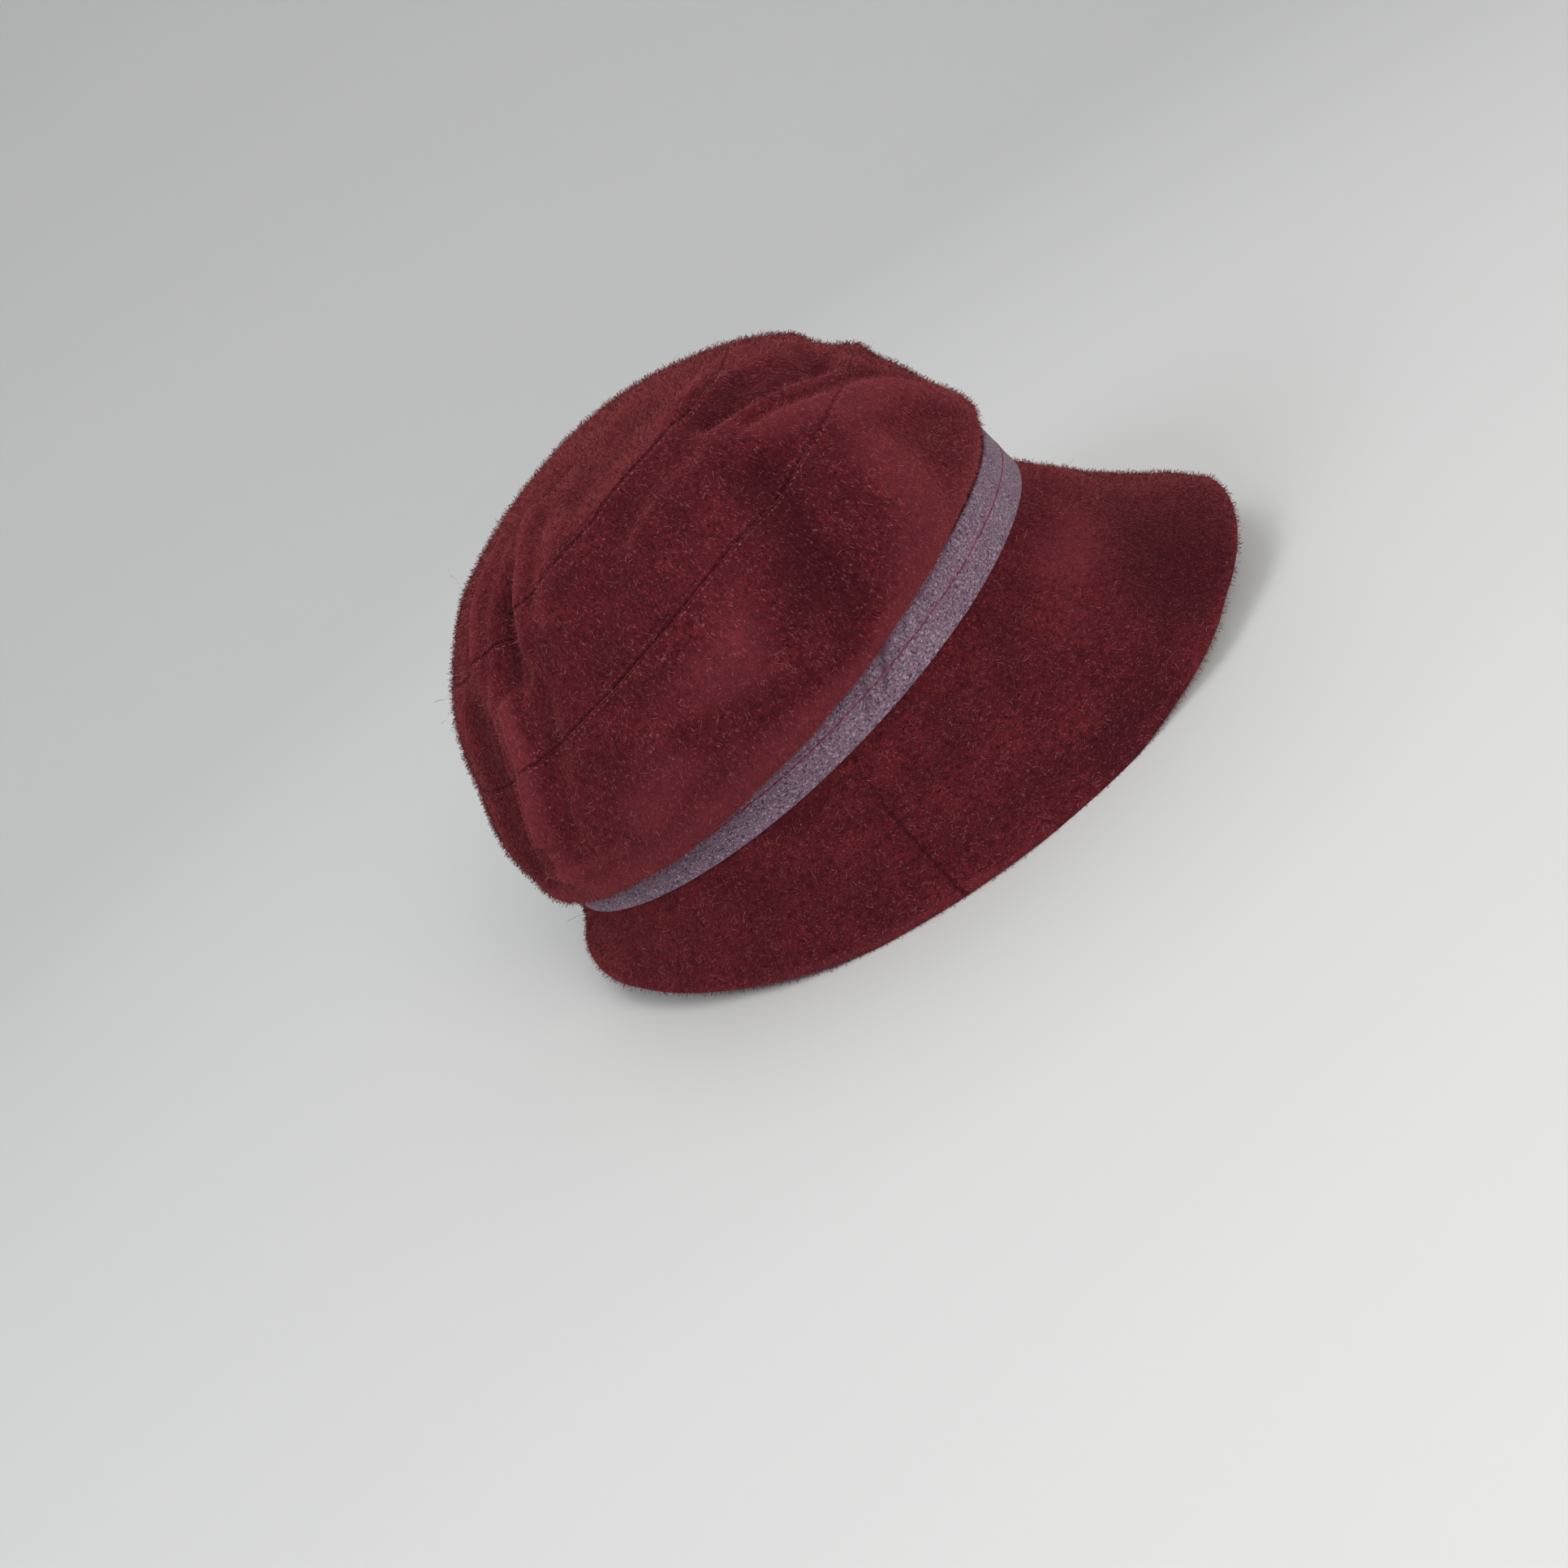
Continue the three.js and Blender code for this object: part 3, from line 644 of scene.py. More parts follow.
def brim_strip(name, material, start, end, mesh_size):
    """A strip of brim between the side seams, with a rounded edge. Its columns follow the seams."""

    def angle(turn, section):
        first = start(section)
        return first + (end(section) - first) * turn

    def form(turn, section):
        return brim(angle(turn, section), section)

    columns, between = mesh_size
    half = BRIM_WALL / 2
    # Columns are closer together beside the seams, where the cloth turns in.
    width = BRIM_MIDDLE_OUT * (end(BRIM_MIDDLE) - start(BRIM_MIDDLE))
    beside = SEAM_ROWS / width
    middle = np.linspace(beside[-1], 1 - beside[-1], columns)[1:-1]
    turn = np.concatenate([beside, middle, 1 - beside[::-1]])
    grid = Grid(form, turn, -BRIM_BEHIND, BRIM_EDGE, PLAIN_ROWS, [0.0], between)
    around, section = grid.around, grid.section
    shape = (*grid.shape, 3)
    normals = facing(brim, angle(around, section).ravel(), section.ravel()).reshape(shape)
    comb = grid.combed()
    # The rounded edge is as far up the slope as keeps its lowest point at the edge's height.
    slope = np.clip(normals[-1, :, 2], *EDGE_SLOPES)
    back = half * (1 + slope) / np.sqrt(1 - slope**2)
    down = grid.down / grid.length * (grid.length - back)
    moved = [np.interp(down[:, c], grid.down[:, c], section[:, c]) for c in range(len(turn))]
    section = np.stack(moved, axis=1)
    real = angle(around, section)
    flat = (real.ravel(), section.ravel())
    points = brim(*flat).reshape(shape)
    normals = facing(brim, *flat).reshape(shape)
    left = (grid.length - back) - down
    outward = unit(normals * (1, 1, 0))
    points += outward * (EDGE_SPREAD * (1 - smooth(left, 0, EDGE_SPREAD_OVER)))[..., None]
    strip = np.linalg.norm(points[:, 1] - points[:, 0], axis=-1) / (turn[1] - turn[0])
    beside = np.minimum(around, 1 - around) * strip[:, None] / BRIM_SEAM_WIDER
    relief = soft_relief(points) * smooth(section, *BRIM_UNEVEN_START) * smooth(left, 0, EDGE_EVEN)
    relief += BRIM_SEAM_SHARE * seam_relief(beside, points) * smooth(section, *BRIM_SEAM_START)
    outer = points + normals * relief[..., None]
    inner = points - normals * BRIM_WALL
    centre = points[-1] - normals[-1] * half
    theta = np.linspace(0, math.pi, EDGE_ARC + 2)[1:-1, None, None]
    arc = centre + half * (np.cos(theta) * normals[-1] + np.sin(theta) * comb[-1])
    sunk = (relief[-1] * (np.cos(theta[..., 0]) + 1) / 2)[..., None]
    arc = arc + normals[-1] * sunk
    arc[..., 2] = np.maximum(arc[..., 2], edge_height(real[-1]))
    rows = edge_rows(outer, arc, inner)
    rows[..., 2] = np.maximum(rows[..., 2], 0)  # the cloth is flat where it rests on the floor
    nap = nap_place(real, down)
    nap_arc = nap[-1] + theta * half * (0, 0, 1)
    seam = seam_closeness(beside)
    fuzz = smooth(section, *BRIM_FUZZ_START) * (1 - SEAM_BARE * seam)
    arc_fuzz = (theta[..., 0] < EDGE_FUZZ_TO) * 1.0
    # Painted shade and light: dark in the folds' hollows, the table's shaded places and the seams'
    # grooves, pale on ridges and in a painted highlight along the edge.
    brushed = (brim.depth(*flat) + brim_painted_shading.depth(*flat)).reshape(fuzz.shape) / FOLD_DEPTH
    brushed += EDGE_PAINTED_HIGHLIGHT * (1 - smooth(left, 0, EDGE_HIGHLIGHT_OVER)) - SEAM_SHADE * seam
    attributes = {
        "nap": edge_rows(nap, nap_arc, nap),
        "comb": edge_rows(comb, comb[-1], comb),
        "fuzz": edge_rows(fuzz, arc_fuzz, 0 * fuzz),
        "brushed": edge_rows(brushed, brushed[-1], brushed),
    }
    return loft(name, rows, material, round_way=False, attributes=attributes)


def brim_front(material):
    return brim_strip(
        "brim_front_cloth", material, lambda s: -brim_seam(s), brim_seam, BRIM_FRONT_MESH
    )


def brim_back(material):
    return brim_strip(
        "brim_back_cloth", material, brim_seam, lambda s: 2 * math.pi - brim_seam(s), BRIM_BACK_MESH
    )


# The band

BAND_CREASES = table(
    "around low high width depth",
    [
        (76, 0.3, 1.0, 1.1, -1.0),
        (78.5, 0.2, 1.0, 1.2, 0.8),
        (80.5, 0.15, 0.9, 0.9, -0.8),
        (73.5, 0.4, 1.0, 1.2, 0.6),
        (70, 0.5, 1.0, 1.0, -0.5),
        (112, 0.5, 1.0, 3.0, -0.5),
        (52, 0.0, 0.7, 3.0, 0.35),
        (30, 0.3, 1.0, 3.5, -0.35),
        (-20, 0.0, 0.8, 3.5, -0.35),
        (-75, 0.2, 1.0, 2.5, -0.6),
        (-120, 0.3, 1.0, 3.0, -0.4),
    ],
)
CREASE_DEPTH = 0.8 * MM
CREASE_SLANT = 8  # degrees that a crease turns over the band's width
CREASE_FADE = (0.1, 0.2)  # shares of the width where it fades, inside and outside its ends
BAND_WAVE = (18 * MM, 0.22 * MM)  # width and height of the band's waves
BAND_DIMPLE_HALF = 0.5 * MM
BAND_EDGE_ROWS = np.array([0.0, 0.12, 0.35, 0.8]) * MM
BAND_MARGIN = 1.6 * MM
BAND_EDGE_ROUND = 0.5 * MM
BAND_EDGE_LEAST = 0.02
BAND_PROUD = 0.7 * MM  # the most that a crease stands out from the band


def band_point(around, up, inset=0.0):
    out = each(lambda foot, lean: foot - lean * up - inset, BAND_FOOT_OUT, BAND_LEAN)
    rise = blend(BAND_FOOT_RISE, around) + blend(BAND_CLIMB, around) * up
    return ring_point(out, rise, around)


def band_relief(around, up, points):
    size, height = BAND_WAVE
    relief = height * waves(points, size, BAND_SEED)
    share = up / BAND_WIDTH
    inside, outside = CREASE_FADE
    for crease in BAND_CREASES:
        off = np.degrees(around) - crease["around"] + CREASE_SLANT * (share - 0.5)
        away = (off + 180) % 360 - 180
        reach = smooth(share, crease["low"] - outside, crease["low"] + inside)
        reach = reach * (1 - smooth(share, crease["high"] - inside, crease["high"] + outside))
        bend = np.exp(-((away / crease["width"]) ** 2))
        relief = relief + CREASE_DEPTH * crease["depth"] * reach * bend
    off_line = (up - BAND_STITCH_UP) / BAND_DIMPLE_HALF
    return np.minimum(relief - STITCH_DIMPLE * np.exp(-(off_line**2)), BAND_PROUD)


def band(material):
    columns, between = BAND_MESH
    around = angles(columns)
    middle = np.linspace(BAND_MARGIN, BAND_WIDTH - BAND_MARGIN, between)
    up = np.concatenate([BAND_EDGE_ROWS, middle, BAND_WIDTH - BAND_EDGE_ROWS[::-1]])[::-1]
    a, u = np.meshgrid(around, up)
    middle = band_point(a, u, BAND_WALL / 2)
    normal = unit(band_point(a, u) - middle)
    from_edge = np.minimum(u, BAND_WIDTH - u)
    turned = 1 - np.minimum(from_edge / BAND_EDGE_ROUND, 1)
    round_off = np.sqrt(np.clip(1 - turned**2, BAND_EDGE_LEAST, 1))
    relief = band_relief(a, u, middle)
    outer = middle + normal * (BAND_WALL / 2 * round_off + relief)[..., None]
    inner = middle - normal * (BAND_WALL / 2 * round_off)[..., None]
    ends, count = len(BAND_EDGE_ROWS), len(up)
    inside = np.r_[0:ends, ends : count - ends : INSIDE_STEP, count - ends : count]
    nap = nap_place(a, u)
    # The creases' depths also paint shade into the band's dents.
    creased = relief / CREASE_DEPTH
    attributes = {"nap": wall_rows(nap, nap, inside), "brushed": wall_rows(creased, creased, inside)}
    return loft("band_cloth", wall_rows(outer, inner, inside), material, attributes=attributes)


# Geometry Nodes

class Nodes:
    """Nodes under construction. What is fed to a socket is a value or another node's output."""

    def __init__(self, tree):
        self.nodes, self.links = tree.nodes, tree.links

    def add(self, kind, settings=None, **values):
        """A new node with its settings. Sockets are named, or numbered as in0, in1 and so on."""
        node = self.nodes.new(kind)
        for key, value in (settings or {}).items():
            setattr(node, key, value)
        for key, value in values.items():
            socket = int(key[2:]) if key.startswith("in") else key.replace("_", " ")
            self.feed(node.inputs[socket], value)
        return node

    def first(self, kind, settings=None, **values):
        """The first output of a new node."""
        return self.add(kind, settings, **values).outputs[0]

    def feed(self, socket, value):
        if isinstance(value, bpy.types.NodeSocket):
            self.links.new(value, socket)
        else:
            socket.default_value = value

    def math(self, operation, a, b):
        return self.first("ShaderNodeMath", {"operation": operation}, in0=a, in1=b)


class Tree(Nodes):
    """A tree of Geometry Nodes, with named inputs."""

    def __init__(self, name, inputs):
        self.tree = bpy.data.node_groups.new(name, "GeometryNodeTree")
        super().__init__(self.tree)
        face = self.tree.interface
        face.new_socket("Geometry", in_out="INPUT", socket_type="NodeSocketGeometry")
        for key, kind in inputs.items():
            face.new_socket(key, in_out="INPUT", socket_type="NodeSocket" + kind)
        face.new_socket("Geometry", in_out="OUTPUT", socket_type="NodeSocketGeometry")
        self.inputs = self.nodes.new("NodeGroupInput").outputs
        self.output = self.nodes.new("NodeGroupOutput").inputs[0]

    def attribute(self, name, kind="FLOAT"):
        return self.first("GeometryNodeInputNamedAttribute", {"data_type": kind}, Name=name)

    def store(self, geometry, name, value, domain):
        settings = {"data_type": "FLOAT", "domain": domain}
        made = self.add("GeometryNodeStoreNamedAttribute", settings, Geometry=geometry, Name=name)
        self.feed(made.inputs["Value"], value)
        return made.outputs[0]

    def position(self):
        return self.first("GeometryNodeInputPosition")

    def vector_math(self, operation, a, b):
        node = self.add("ShaderNodeVectorMath", {"operation": operation}, in0=a)
        self.feed(node.inputs["Scale" if operation == "SCALE" else 1], b)
        return node.outputs[0]

    def random(self, low, high, seed, kind="FLOAT"):
        node = self.add("FunctionNodeRandomValue", {"data_type": kind})
        sockets = [s for s in node.inputs if s.enabled]
        self.feed(sockets[0], low)
        self.feed(sockets[1], high)
        self.feed(node.inputs["Seed"], seed)
        return next(s for s in node.outputs if s.enabled)

    def finish(self, geometry, material):
        real = self.first("GeometryNodeRealizeInstances", Geometry=geometry)
        done = self.first("GeometryNodeSetMaterial", Geometry=real, Material=material)
        self.links.new(done, self.output)
        return self.tree


FIBRE_SIZES = (0.45, 1.25)  # lengths of single fibres, as shares
SPIN_SEED, SIZE_SEED, TINT_SEED = 11, 23, 37  # these are added to a piece's own seed
CURL_POWER = 1.3
CURL_SPREAD = 90.0  # how far apart the curls of two fibres are in the noise


def fibre_tree():
    """Short wool fibres that stand on a piece of cloth, leaning down it and curling."""
    sizes = ("Density", "Length", "Thickness", "Stand", "Lie", "Scatter", "Curl", "Curl Size", "Floor")
    inputs = {**dict.fromkeys(sizes, "Float"), "Segments": "Int", "Seed": "Int", "Material": "Material"}
    made = Tree("wool_fibres", inputs)
    put = made.inputs
    points = made.add(
        "GeometryNodeDistributePointsOnFaces",
        {"distribute_method": "RANDOM"},
        Mesh=put["Geometry"],
        Density=made.math("MULTIPLY", put["Density"], made.attribute("fuzz")),
        Seed=put["Seed"],
    )
    # The way that each fibre points
    standing = made.vector_math("SCALE", points.outputs["Normal"], put["Stand"])
    lying = made.vector_math("SCALE", made.attribute("comb", "FLOAT_VECTOR"), put["Lie"])
    loose = made.random((-1, -1, -1), (1, 1, 1), put["Seed"], "FLOAT_VECTOR")
    loose = made.vector_math("SCALE", loose, put["Scatter"])
    way = made.vector_math("ADD", made.vector_math("ADD", standing, lying), loose)
    spin = made.random(0.0, 2 * math.pi, made.math("ADD", put["Seed"], SPIN_SEED))
    spun = made.first("ShaderNodeCombineXYZ", Z=spin)
    turned = made.first("FunctionNodeEulerToRotation", Euler=spun)
    aligned = made.first(
        "FunctionNodeAlignRotationToVector", {"axis": "Z"}, Rotation=turned, Vector=way
    )
    # One upright blade, a strip of a few faces
    blade = made.add(
        "GeometryNodeMeshGrid",
        Size_X=put["Thickness"],
        Size_Y=put["Length"],
        Vertices_X=2,
        Vertices_Y=made.math("ADD", put["Segments"], 1.0),
    )
    parts = made.add("ShaderNodeSeparateXYZ", Vector=made.position())
    share = made.math("ADD", made.math("DIVIDE", parts.outputs["Y"], put["Length"]), 0.5)
    kept = made.store(blade.outputs["Mesh"], "along", share, "POINT")
    height = made.math("MULTIPLY", share, put["Length"])
    risen = made.first("ShaderNodeCombineXYZ", X=parts.outputs["X"], Z=height)
    upright = made.first("GeometryNodeSetPosition", Geometry=kept, Position=risen)
    size = made.random(*FIBRE_SIZES, made.math("ADD", put["Seed"], SIZE_SEED))
    placed = made.first(
        "GeometryNodeInstanceOnPoints",
        Points=points.outputs["Points"],
        Instance=upright,
        Rotation=aligned,
        Scale=made.first("ShaderNodeCombineXYZ", X=1.0, Y=1.0, Z=size),
    )
    tint = made.random(0.0, 1.0, made.math("ADD", put["Seed"], TINT_SEED))
    tinted = made.store(placed, "tint", tint, "INSTANCE")
    real = made.first("GeometryNodeRealizeInstances", Geometry=tinted)
    # Each fibre curls its own way, more towards its tip, and none goes below the floor
    per_size = made.math("DIVIDE", 1.0, put["Curl Size"])
    field = made.add(
        "ShaderNodeTexNoise",
        {"noise_dimensions": "4D"},
        Vector=made.vector_math("SCALE", made.position(), per_size),
        W=made.math("MULTIPLY", made.attribute("tint"), CURL_SPREAD),
        Scale=1.0,
        Detail=1.0,
    )
    centred = made.vector_math("SUBTRACT", field.outputs["Color"], (0.5, 0.5, 0.5))
    along = made.math("POWER", made.attribute("along"), CURL_POWER)
    offset = made.vector_math("SCALE", centred, made.math("MULTIPLY", put["Curl"], along))
    curled = made.first("GeometryNodeSetPosition", Geometry=real, Offset=offset)
    spot = made.add("ShaderNodeSeparateXYZ", Vector=made.position())
    above = made.math("MAXIMUM", spot.outputs["Z"], put["Floor"])
    lifted = made.first("ShaderNodeCombineXYZ", X=spot.outputs["X"], Y=spot.outputs["Y"], Z=above)
    rested = made.first("GeometryNodeSetPosition", Geometry=curled, Position=lifted)
    return made.finish(rested, put["Material"])


STITCH_FACES = {"Segments": 6, "Rings": 5}
STITCH_SIZES = (0.85, 1.1)  # lengths of single stitches, as shares


def stitch_tree():
    """Stitches laid end to end along a line."""
    sizes = dict.fromkeys(("Pitch", "Length", "Thickness"), "Float")
    made = Tree("stitches", {**sizes, "Seed": "Int", "Material": "Material"})
    put = made.inputs
    curve = made.first("GeometryNodeMeshToCurve", Mesh=put["Geometry"])
    even = made.add("GeometryNodeResampleCurve", {"mode": "LENGTH"}, Curve=curve)
    made.feed(even.inputs["Length"], put["Pitch"])
    tangent = made.first("GeometryNodeInputTangent")
    turned = made.first("FunctionNodeAlignRotationToVector", {"axis": "Z"}, Vector=tangent)
    bead = made.add("GeometryNodeMeshUVSphere", Radius=0.5, **STITCH_FACES)
    long = made.math("MULTIPLY", put["Length"], made.random(*STITCH_SIZES, put["Seed"]))
    size = made.first("ShaderNodeCombineXYZ", X=put["Thickness"], Y=put["Thickness"], Z=long)
    placed = made.first(
        "GeometryNodeInstanceOnPoints",
        Points=even.outputs[0],
        Instance=bead.outputs["Mesh"],
        Rotation=turned,
        Scale=size,
    )
    return made.finish(placed, put["Material"])


def grow(source, name, tree, values):
    """A plain mesh of what a node tree makes from a piece."""
    modifier = source.modifiers.new("grow", "NODES")
    modifier.node_group = tree
    sockets = {s.name: s.identifier for s in tree.interface.items_tree if s.in_out == "INPUT"}
    for key, value in values.items():
        modifier[sockets[key]] = value
    graph = bpy.context.evaluated_depsgraph_get()
    mesh = bpy.data.meshes.new_from_object(source.evaluated_get(graph))
    source.modifiers.remove(modifier)
    mesh.name = name
    return link(name, mesh)


# Materials

class Finish(Nodes):
    """A material, with its shader's constants set on the shader itself."""

    def __init__(self, name, **constants):
        self.material = bpy.data.materials.new(name)
        self.material.use_nodes = True
        super().__init__(self.material.node_tree)
        self.shader = self.nodes["Principled BSDF"]
        for key, value in constants.items():
            self.shader.inputs[key.replace("_", " ")].default_value = value

    def attribute(self, name, output="Fac"):
        return self.add("ShaderNodeAttribute", {"attribute_name": name}).outputs[output]

    def pattern(self, name, stretch):
        """The place that a pattern is read at, stretched down the cloth."""
        place = self.attribute(name, "Vector")
        return self.first("ShaderNodeMapping", Vector=place, Scale=stretch)

    def noise(self, place, size, detail=3.0, rough=0.6):
        settings = {"Scale": 1 / size, "Detail": detail, "Roughness": rough}
        return self.first("ShaderNodeTexNoise", Vector=place, **settings)

    def ramp(self, value, low, high):
        """A value spread from 0 to 1 between two of its levels."""
        node = self.add("ShaderNodeMapRange", Value=value, From_Min=low, From_Max=high)
        node.clamp = True
        return node.outputs[0]

    def mix(self, share, a, b):
        node = self.add("ShaderNodeMix", {"data_type": "RGBA"}, in6=a, in7=b)
        self.feed(node.inputs["Factor"], share)
        return node.outputs[2]

    def tone(self, colour, other, value, levels, most):
        """A colour turned towards another one, by at most a share, as a value goes between levels."""
        share = self.math("MULTIPLY", self.ramp(value, *levels), most)
        return self.mix(share, colour, other)

    def bump(self, height, distance, strength, normal=None):
        node = self.add("ShaderNodeBump", Height=height, Distance=distance, Strength=strength)
        if normal is not None:
            self.feed(node.inputs["Normal"], normal)
        return node.outputs[0]

    def finish(self, colour, normal=None):
        self.feed(self.shader.inputs["Base Color"], colour)
        if normal is not None:
            self.feed(self.shader.inputs["Normal"], normal)
        return self.material


# Sizes of the wool's patterns
CLOUD_SIZE = 17 * MM
PATCH_SIZE = 5 * MM
GRAIN_SIZE = 1.5 * MM
STRAND_SIZE = 0.6 * MM
FLECK_SIZE = 0.42 * MM
HOLLOW = (-0.1, -1.0)  # fold depths, as shares of FOLD_DEPTH, where painted shade turns the wool dark and where a painted highlight turns it pale
RAISED = (0.15, 0.8)  # and where it turns pale

WOOL_DARK = (0.036, 0.0050, 0.0095, 1)
WOOL_MIDDLE = (0.086, 0.0100, 0.0155, 1)
WOOL_WARM = (0.125, 0.0145, 0.0185, 1)
# pale fibres, with painted glints of light on them
WOOL_FLECK = (0.420, 0.1650, 0.1800, 1)
# painted highlight on ridges, along the crown's roll and along the brim's edge
WOOL_PAINTED_HIGHLIGHT = (0.240, 0.042, 0.055, 1)
WOOL_SHEEN = (0.85, 0.16, 0.16, 1)
BAND_MIDDLE = (0.190, 0.118, 0.165, 1)
BAND_SHADE = (0.150, 0.092, 0.135, 1)
BAND_DARK = (0.040, 0.025, 0.038, 1)
BAND_LIGHT = (0.480, 0.390, 0.450, 1)
THREAD = (0.160, 0.006, 0.036, 1)
THREAD_LIGHT = (0.260, 0.020, 0.070, 1)
SEAM_THREAD = (0.290, 0.105, 0.100, 1)
SUNK_THREAD = (0.170, 0.045, 0.050, 1)


def wool(name, combing):
    """Brushed wool melton: cloudy colour, matted grain, combed strands and pale flecks."""
    made = Finish(
        name,
        Roughness=1.0,
        Specular_IOR_Level=0.05,
        Sheen_Weight=0.5,
        Sheen_Roughness=0.35,
        Sheen_Tint=WOOL_SHEEN,
    )
    whole = made.pattern("nap", (1, 1, 1))
    fibres = made.pattern("nap", (1, 1, combing))
    brushed = made.attribute("brushed")
    clouds = made.ramp(made.noise(whole, CLOUD_SIZE, 3.0, 0.55), 0.38, 0.62)
    patches = made.noise(whole, PATCH_SIZE, 2.0)
    grain = made.noise(whole, GRAIN_SIZE, 3.0, 0.65)
    strands = made.noise(fibres, STRAND_SIZE, 2.0, 0.7)
    # Pale flecks: paler fibres, with painted glints of light on them
    pale = made.ramp(made.noise(fibres, FLECK_SIZE, 1.0), 0.6, 0.74)
    lit = made.math("MULTIPLY", pale, made.ramp(grain, 0.36, 0.6))
    colour = made.mix(clouds, WOOL_MIDDLE, WOOL_WARM)
    colour = made.tone(colour, WOOL_DARK, patches, (0.35, 0.65), 0.35)
    # Painted shade in the folds' hollows and the seams' grooves
    colour = made.tone(colour, WOOL_DARK, brushed, HOLLOW, 0.62)
    colour = made.tone(colour, WOOL_DARK, grain, (0.5, 0.34), 0.8)
    colour = made.tone(colour, WOOL_DARK, strands, (0.5, 0.34), 0.8)
    colour = made.mix(made.math("MULTIPLY", lit, 0.45), colour, WOOL_FLECK)
    # Painted highlight on ridges, along the crown's roll and along the brim's edge
    colour = made.tone(colour, WOOL_PAINTED_HIGHLIGHT, brushed, RAISED, 0.35)
    matted = made.bump(grain, 0.9 * MM, 0.9)
    return made.finish(colour, made.bump(strands, 0.4 * MM, 0.8, matted))


def fibre_finish():
    made = Finish(
        "wool_fibre",
        Roughness=0.8,
        Specular_IOR_Level=0.15,
        Sheen_Weight=0.4,
        Sheen_Roughness=0.4,
        Sheen_Tint=WOOL_SHEEN,
    )
    tint, brushed = made.attribute("tint"), made.attribute("brushed")
    colour = made.mix(made.ramp(tint, 0.0, 0.25), WOOL_DARK, WOOL_MIDDLE)
    colour = made.mix(made.ramp(tint, 0.25, 0.6), colour, WOOL_WARM)
    # The palest fibres carry painted glints of light
    colour = made.tone(colour, WOOL_FLECK, tint, (0.7, 1.0), 0.55)
    # Painted shade in hollows and grooves, painted highlight on ridges, the roll and the brim's edge
    colour = made.tone(colour, WOOL_DARK, brushed, HOLLOW, 0.68)
    colour = made.tone(colour, WOOL_PAINTED_HIGHLIGHT, brushed, RAISED, 0.4)
    return made.finish(colour)


def band_finish():
    """Heathered grey mauve wool cloth with dark and pale specks."""
    made = Finish(
        "band_wool",
        Roughness=0.95,
        Specular_IOR_Level=0.1,
        Sheen_Weight=0.1,
        Sheen_Roughness=0.5,
    )
    place = made.pattern("nap", (1, 1, 1))
    clouds = made.noise(place, 9 * MM, 2.0)
    dark = made.noise(place, 0.8 * MM, 2.0, 0.7)
    pale = made.noise(place, 0.7 * MM, 2.0, 0.7)
    colour = made.mix(made.ramp(clouds, 0.3, 0.7), BAND_MIDDLE, BAND_SHADE)
    colour = made.tone(colour, BAND_LIGHT, pale, (0.53, 0.65), 0.65)
    colour = made.tone(colour, BAND_DARK, dark, (0.46, 0.37), 0.9)
    # Painted shade in the band's creases
    colour = made.tone(colour, BAND_DARK, made.attribute("brushed"), (-0.25, -0.9), 0.6)
    return made.finish(colour, made.bump(made.noise(place, 0.9 * MM), 0.4 * MM, 0.8))


def thread_finish(name, dark, light):
    made = Finish(name, Roughness=0.6, Specular_IOR_Level=0.3)
    place = made.add("ShaderNodeTexCoord").outputs["Object"]
    colour = made.mix(made.ramp(made.noise(place, 3 * MM), 0.4, 0.6), dark, light)
    return made.finish(colour)


# Stitch lines

LINE_POINTS = 900  # of a stitch line round the hat
SEARCH_REACH = 0.9  # sections beside a seam where its stitch line is looked for
SEARCH_STEPS = 60


def ring_object(name, points):
    count = len(points)
    mesh = bpy.data.meshes.new(name)
    mesh.from_pydata(points, [(i, (i + 1) % count) for i in range(count)], [])
    return link(name, mesh)


def seam_line(seam, side):
    """Points beside a crown seam, at the stitch line's distance above or below it."""
    around = angles(LINE_POINTS)
    sections = np.linspace(0, SEARCH_REACH, SEARCH_STEPS) * side + seam
    length = lengths_down(crown, around, sections)
    found = [np.interp(STITCH_FROM_SEAM, length[:, c], sections) for c in range(len(around))]
    section = np.array(found)
    spot = crown(around, section)
    relief = soft_relief(spot) + seam_relief(np.full(len(around), STITCH_FROM_SEAM), spot)
    lift = relief + STITCH_THICKNESS * STITCH_SUNK
    return spot + facing(crown, around, section) * lift[:, None]


LINE_WANDER = (9 * MM, 0.25 * MM)  # width and height of the waves in the band's stitch line
LINE_LIFT = 0.08 * MM


def band_line():
    around = angles(LINE_POINTS)
    up = np.full(len(around), BAND_STITCH_UP)
    size, height = LINE_WANDER
    wander = height * waves(band_point(around, up), size, LINE_SEED)
    middle = band_point(around, up + wander, BAND_WALL / 2)
    normal = unit(band_point(around, up + wander) - middle)
    lift = band_relief(around, up, middle) + BAND_WALL / 2 + LINE_LIFT
    return middle + normal * lift[:, None]


STITCH_SEED = 3


def stitched(name, points, tree, material, pitch, length, thickness):
    line = ring_object(name + "_line", points)
    sizes = {"Pitch": pitch, "Length": length, "Thickness": thickness}
    made = grow(line, name, tree, {**sizes, "Seed": STITCH_SEED, "Material": material})
    bpy.data.objects.remove(line)
    return made


# The hat

def keep(piece, replaced=None):
    if replaced:
        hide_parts(replaced)
    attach(piece, "root")


crown_wool = wool("crown_wool", 0.3)
brim_wool = wool("brim_wool", 0.8)
band_wool = band_finish()
fibre_wool = fibre_finish()
band_thread = thread_finish("band_thread", THREAD, THREAD_LIGHT)
seam_thread = thread_finish("seam_thread", WOOL_MIDDLE, SEAM_THREAD)
sunk_thread = thread_finish("sunk_thread", WOOL_MIDDLE, SUNK_THREAD)

skins = {
    "crown_tip": crown_tip(crown_wool),
    "crown_upper": crown_upper(crown_wool),
    "crown_side": crown_side(crown_wool),
    "brim_front": brim_front(brim_wool),
    "brim_back": brim_back(brim_wool),
}
band_piece = band(band_wool)

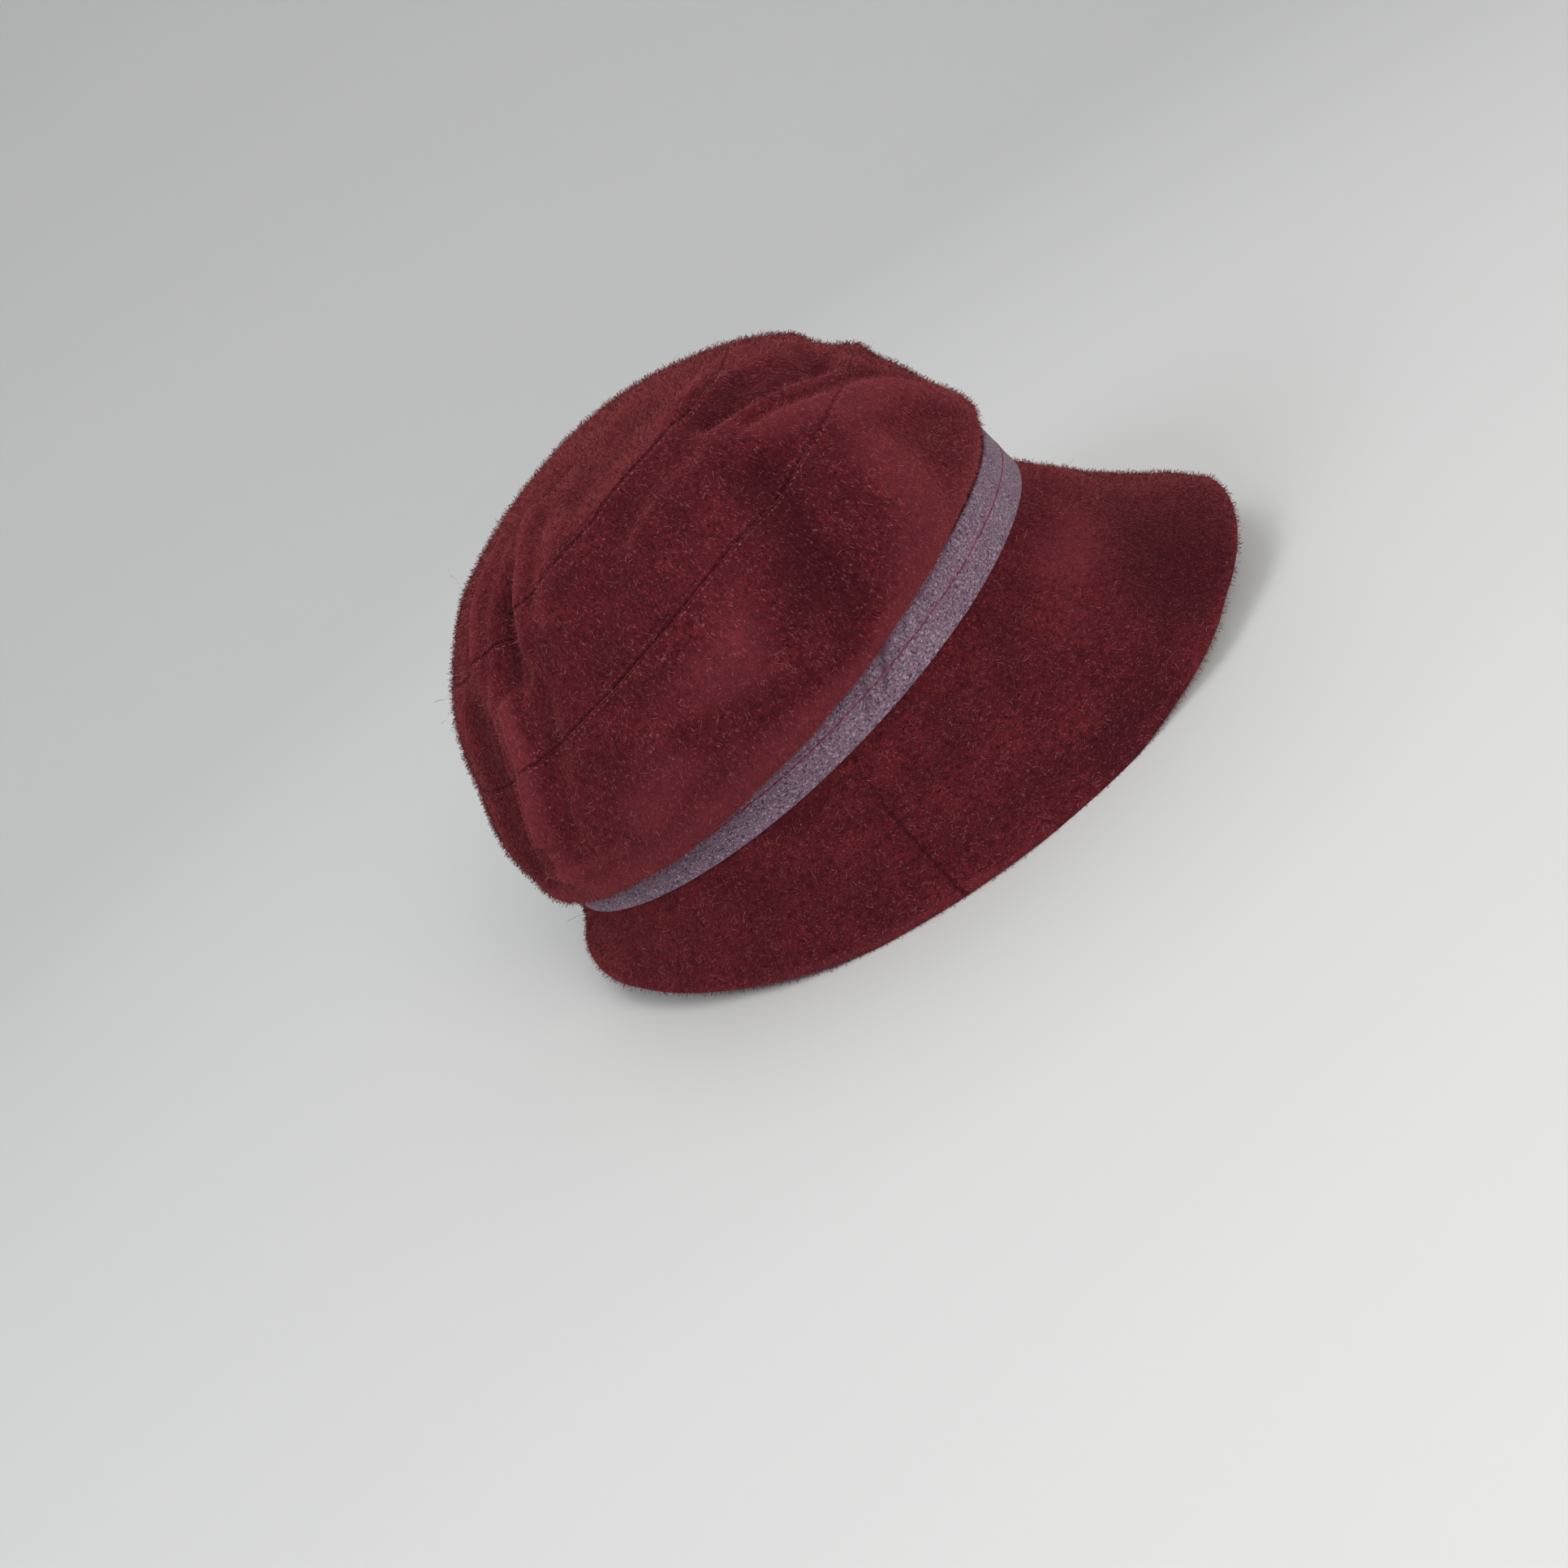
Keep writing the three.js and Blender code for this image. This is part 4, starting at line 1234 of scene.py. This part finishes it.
FUZZ_SEED, STRAY_SEED = 1, 51  # seeds of the first piece's fibres and stray hairs
FIBRE_FLOOR = 0.15 * MM  # no fibre reaches lower than this
FIBRES = {
    "Density": 1.2e6,
    "Length": 1.7 * MM,
    "Thickness": 0.13 * MM,
    "Segments": 2,
    "Stand": 0.5,
    "Lie": 0.3,
    "Scatter": 0.8,
    "Curl": 2.2 * MM,
    "Curl Size": 1.1 * MM,
}
STRAYS = {
    "Density": 3e3,
    "Length": 7 * MM,
    "Thickness": 0.07 * MM,
    "Segments": 8,
    "Stand": 0.3,
    "Lie": 0.5,
    "Scatter": 0.9,
    "Curl": 9 * MM,
    "Curl Size": 4 * MM,
}
fibres = fibre_tree()
both = {"Floor": FIBRE_FLOOR, "Material": fibre_wool}
for number, (node, skin) in enumerate(skins.items()):
    for kind, values, seed in (("fuzz", FIBRES, FUZZ_SEED), ("strays", STRAYS, STRAY_SEED)):
        made = grow(skin, f"{node}_{kind}", fibres, {**both, **values, "Seed": number + seed})
        keep(made)
    keep(skin, node)
keep(band_piece, "band")

stitches = stitch_tree()
seam_sizes = (STITCH_PITCH, STITCH_LENGTH, STITCH_THICKNESS)
band_sizes = (BAND_STITCH_PITCH, BAND_STITCH_LENGTH, BAND_STITCH_THICKNESS)
for seam, seam_name in ((TIP_SEAM, "tip_seam"), (SIDE_SEAM, "side_seam")):
    for side, side_name, yarn in ((-1, "upper", sunk_thread), (1, "lower", seam_thread)):
        name = f"{seam_name}_stitches_{side_name}"
        keep(stitched(name, seam_line(seam, side), stitches, yarn, *seam_sizes))
keep(stitched("band_stitches", band_line(), stitches, band_thread, *band_sizes))

# The floor, light and camera

FLOOR_RADIUS = 2.2
SWEEP_RADIUS = 1.2
SWEEP_HEIGHT = 1.7
SWEEP_STEPS = 16
FLOOR_COLUMNS = 96
FLOOR_HOLE = 0.001  # the middle of the floor stays open by this much, under the hat
BACKDROP = (0.68, 0.68, 0.67, 1)


def studio_floor():
    """A round pale floor that sweeps up into a wall, open at the top."""
    level = FLOOR_RADIUS - SWEEP_RADIUS
    profile = [(FLOOR_HOLE, 0.0), (level, 0.0)]
    for t in np.linspace(0, math.pi / 2, SWEEP_STEPS)[1:]:
        profile.append((level + SWEEP_RADIUS * math.sin(t), SWEEP_RADIUS * (1 - math.cos(t))))
    profile.append((FLOOR_RADIUS, SWEEP_HEIGHT))
    turn = angles(FLOOR_COLUMNS)
    rows = np.array([[(r * math.cos(a), r * math.sin(a), z) for a in turn] for r, z in profile])
    made = Finish("studio_paper", Base_Color=BACKDROP, Roughness=0.9, Specular_IOR_Level=0.1)
    floor = loft("studio_floor", rows[::-1], made.material, closed_section=False)


def aimed(place, aim):
    turned = (aim - place).to_track_quat("-Z", "Y").to_matrix().to_4x4()
    return Matrix.Translation(place) @ turned


CAMERA_PLACE = Vector((-0.5531, 0.0171, 0.2334))
CAMERA_AIM = Vector((-0.0323, 0.0440, 0.0294))
CAMERA_ROLL = math.radians(-37.575)
SENSOR = 36.0
FRAME_PIXELS = 1932
FOCAL_PIXELS = 2050


def studio_camera():
    data = bpy.data.cameras.new("camera")
    data.sensor_width = SENSOR
    data.lens = SENSOR * FOCAL_PIXELS / FRAME_PIXELS
    data.clip_start = 0.01
    camera = link("camera", data)
    turned = Matrix.Rotation(CAMERA_ROLL, 4, "Z")
    camera.matrix_world = aimed(CAMERA_PLACE, CAMERA_AIM) @ turned
    bpy.context.scene.camera = camera


LIGHT_AIM = Vector((0, 0, 0.06))
WORLD_COLOUR = (0.95, 0.98, 1.0, 1)
WORLD_STRENGTH = 0.45


def soft_light(name, place, size, power, colour=(1, 1, 1)):
    data = bpy.data.lights.new(name, "AREA")
    data.shape = "DISK"
    data.size = size
    data.energy = power
    data.color = colour
    link(name, data).matrix_world = aimed(Vector(place), LIGHT_AIM)


def studio_light():
    soft_light("window", (-1.2, -0.5, 0.95), 1.0, 10, (1.0, 0.985, 0.96))
    soft_light("fill_left", (-0.8, 1.3, 1.3), 0.9, 9, (0.92, 0.965, 1.0))
    soft_light("fill_top", (0.9, 0.3, 1.7), 1.2, 7)
    soft_light("fill_low", (-0.95, -0.25, 0.46), 0.5, 2.2, (1.0, 0.97, 0.96))
    world = bpy.data.worlds.new("studio")
    world.use_nodes = True
    background = world.node_tree.nodes["Background"]
    background.inputs[0].default_value = WORLD_COLOUR
    background.inputs[1].default_value = WORLD_STRENGTH
    bpy.context.scene.world = world
    bpy.context.scene.view_settings.view_transform = "Standard"


studio_floor()
studio_camera()
studio_light()
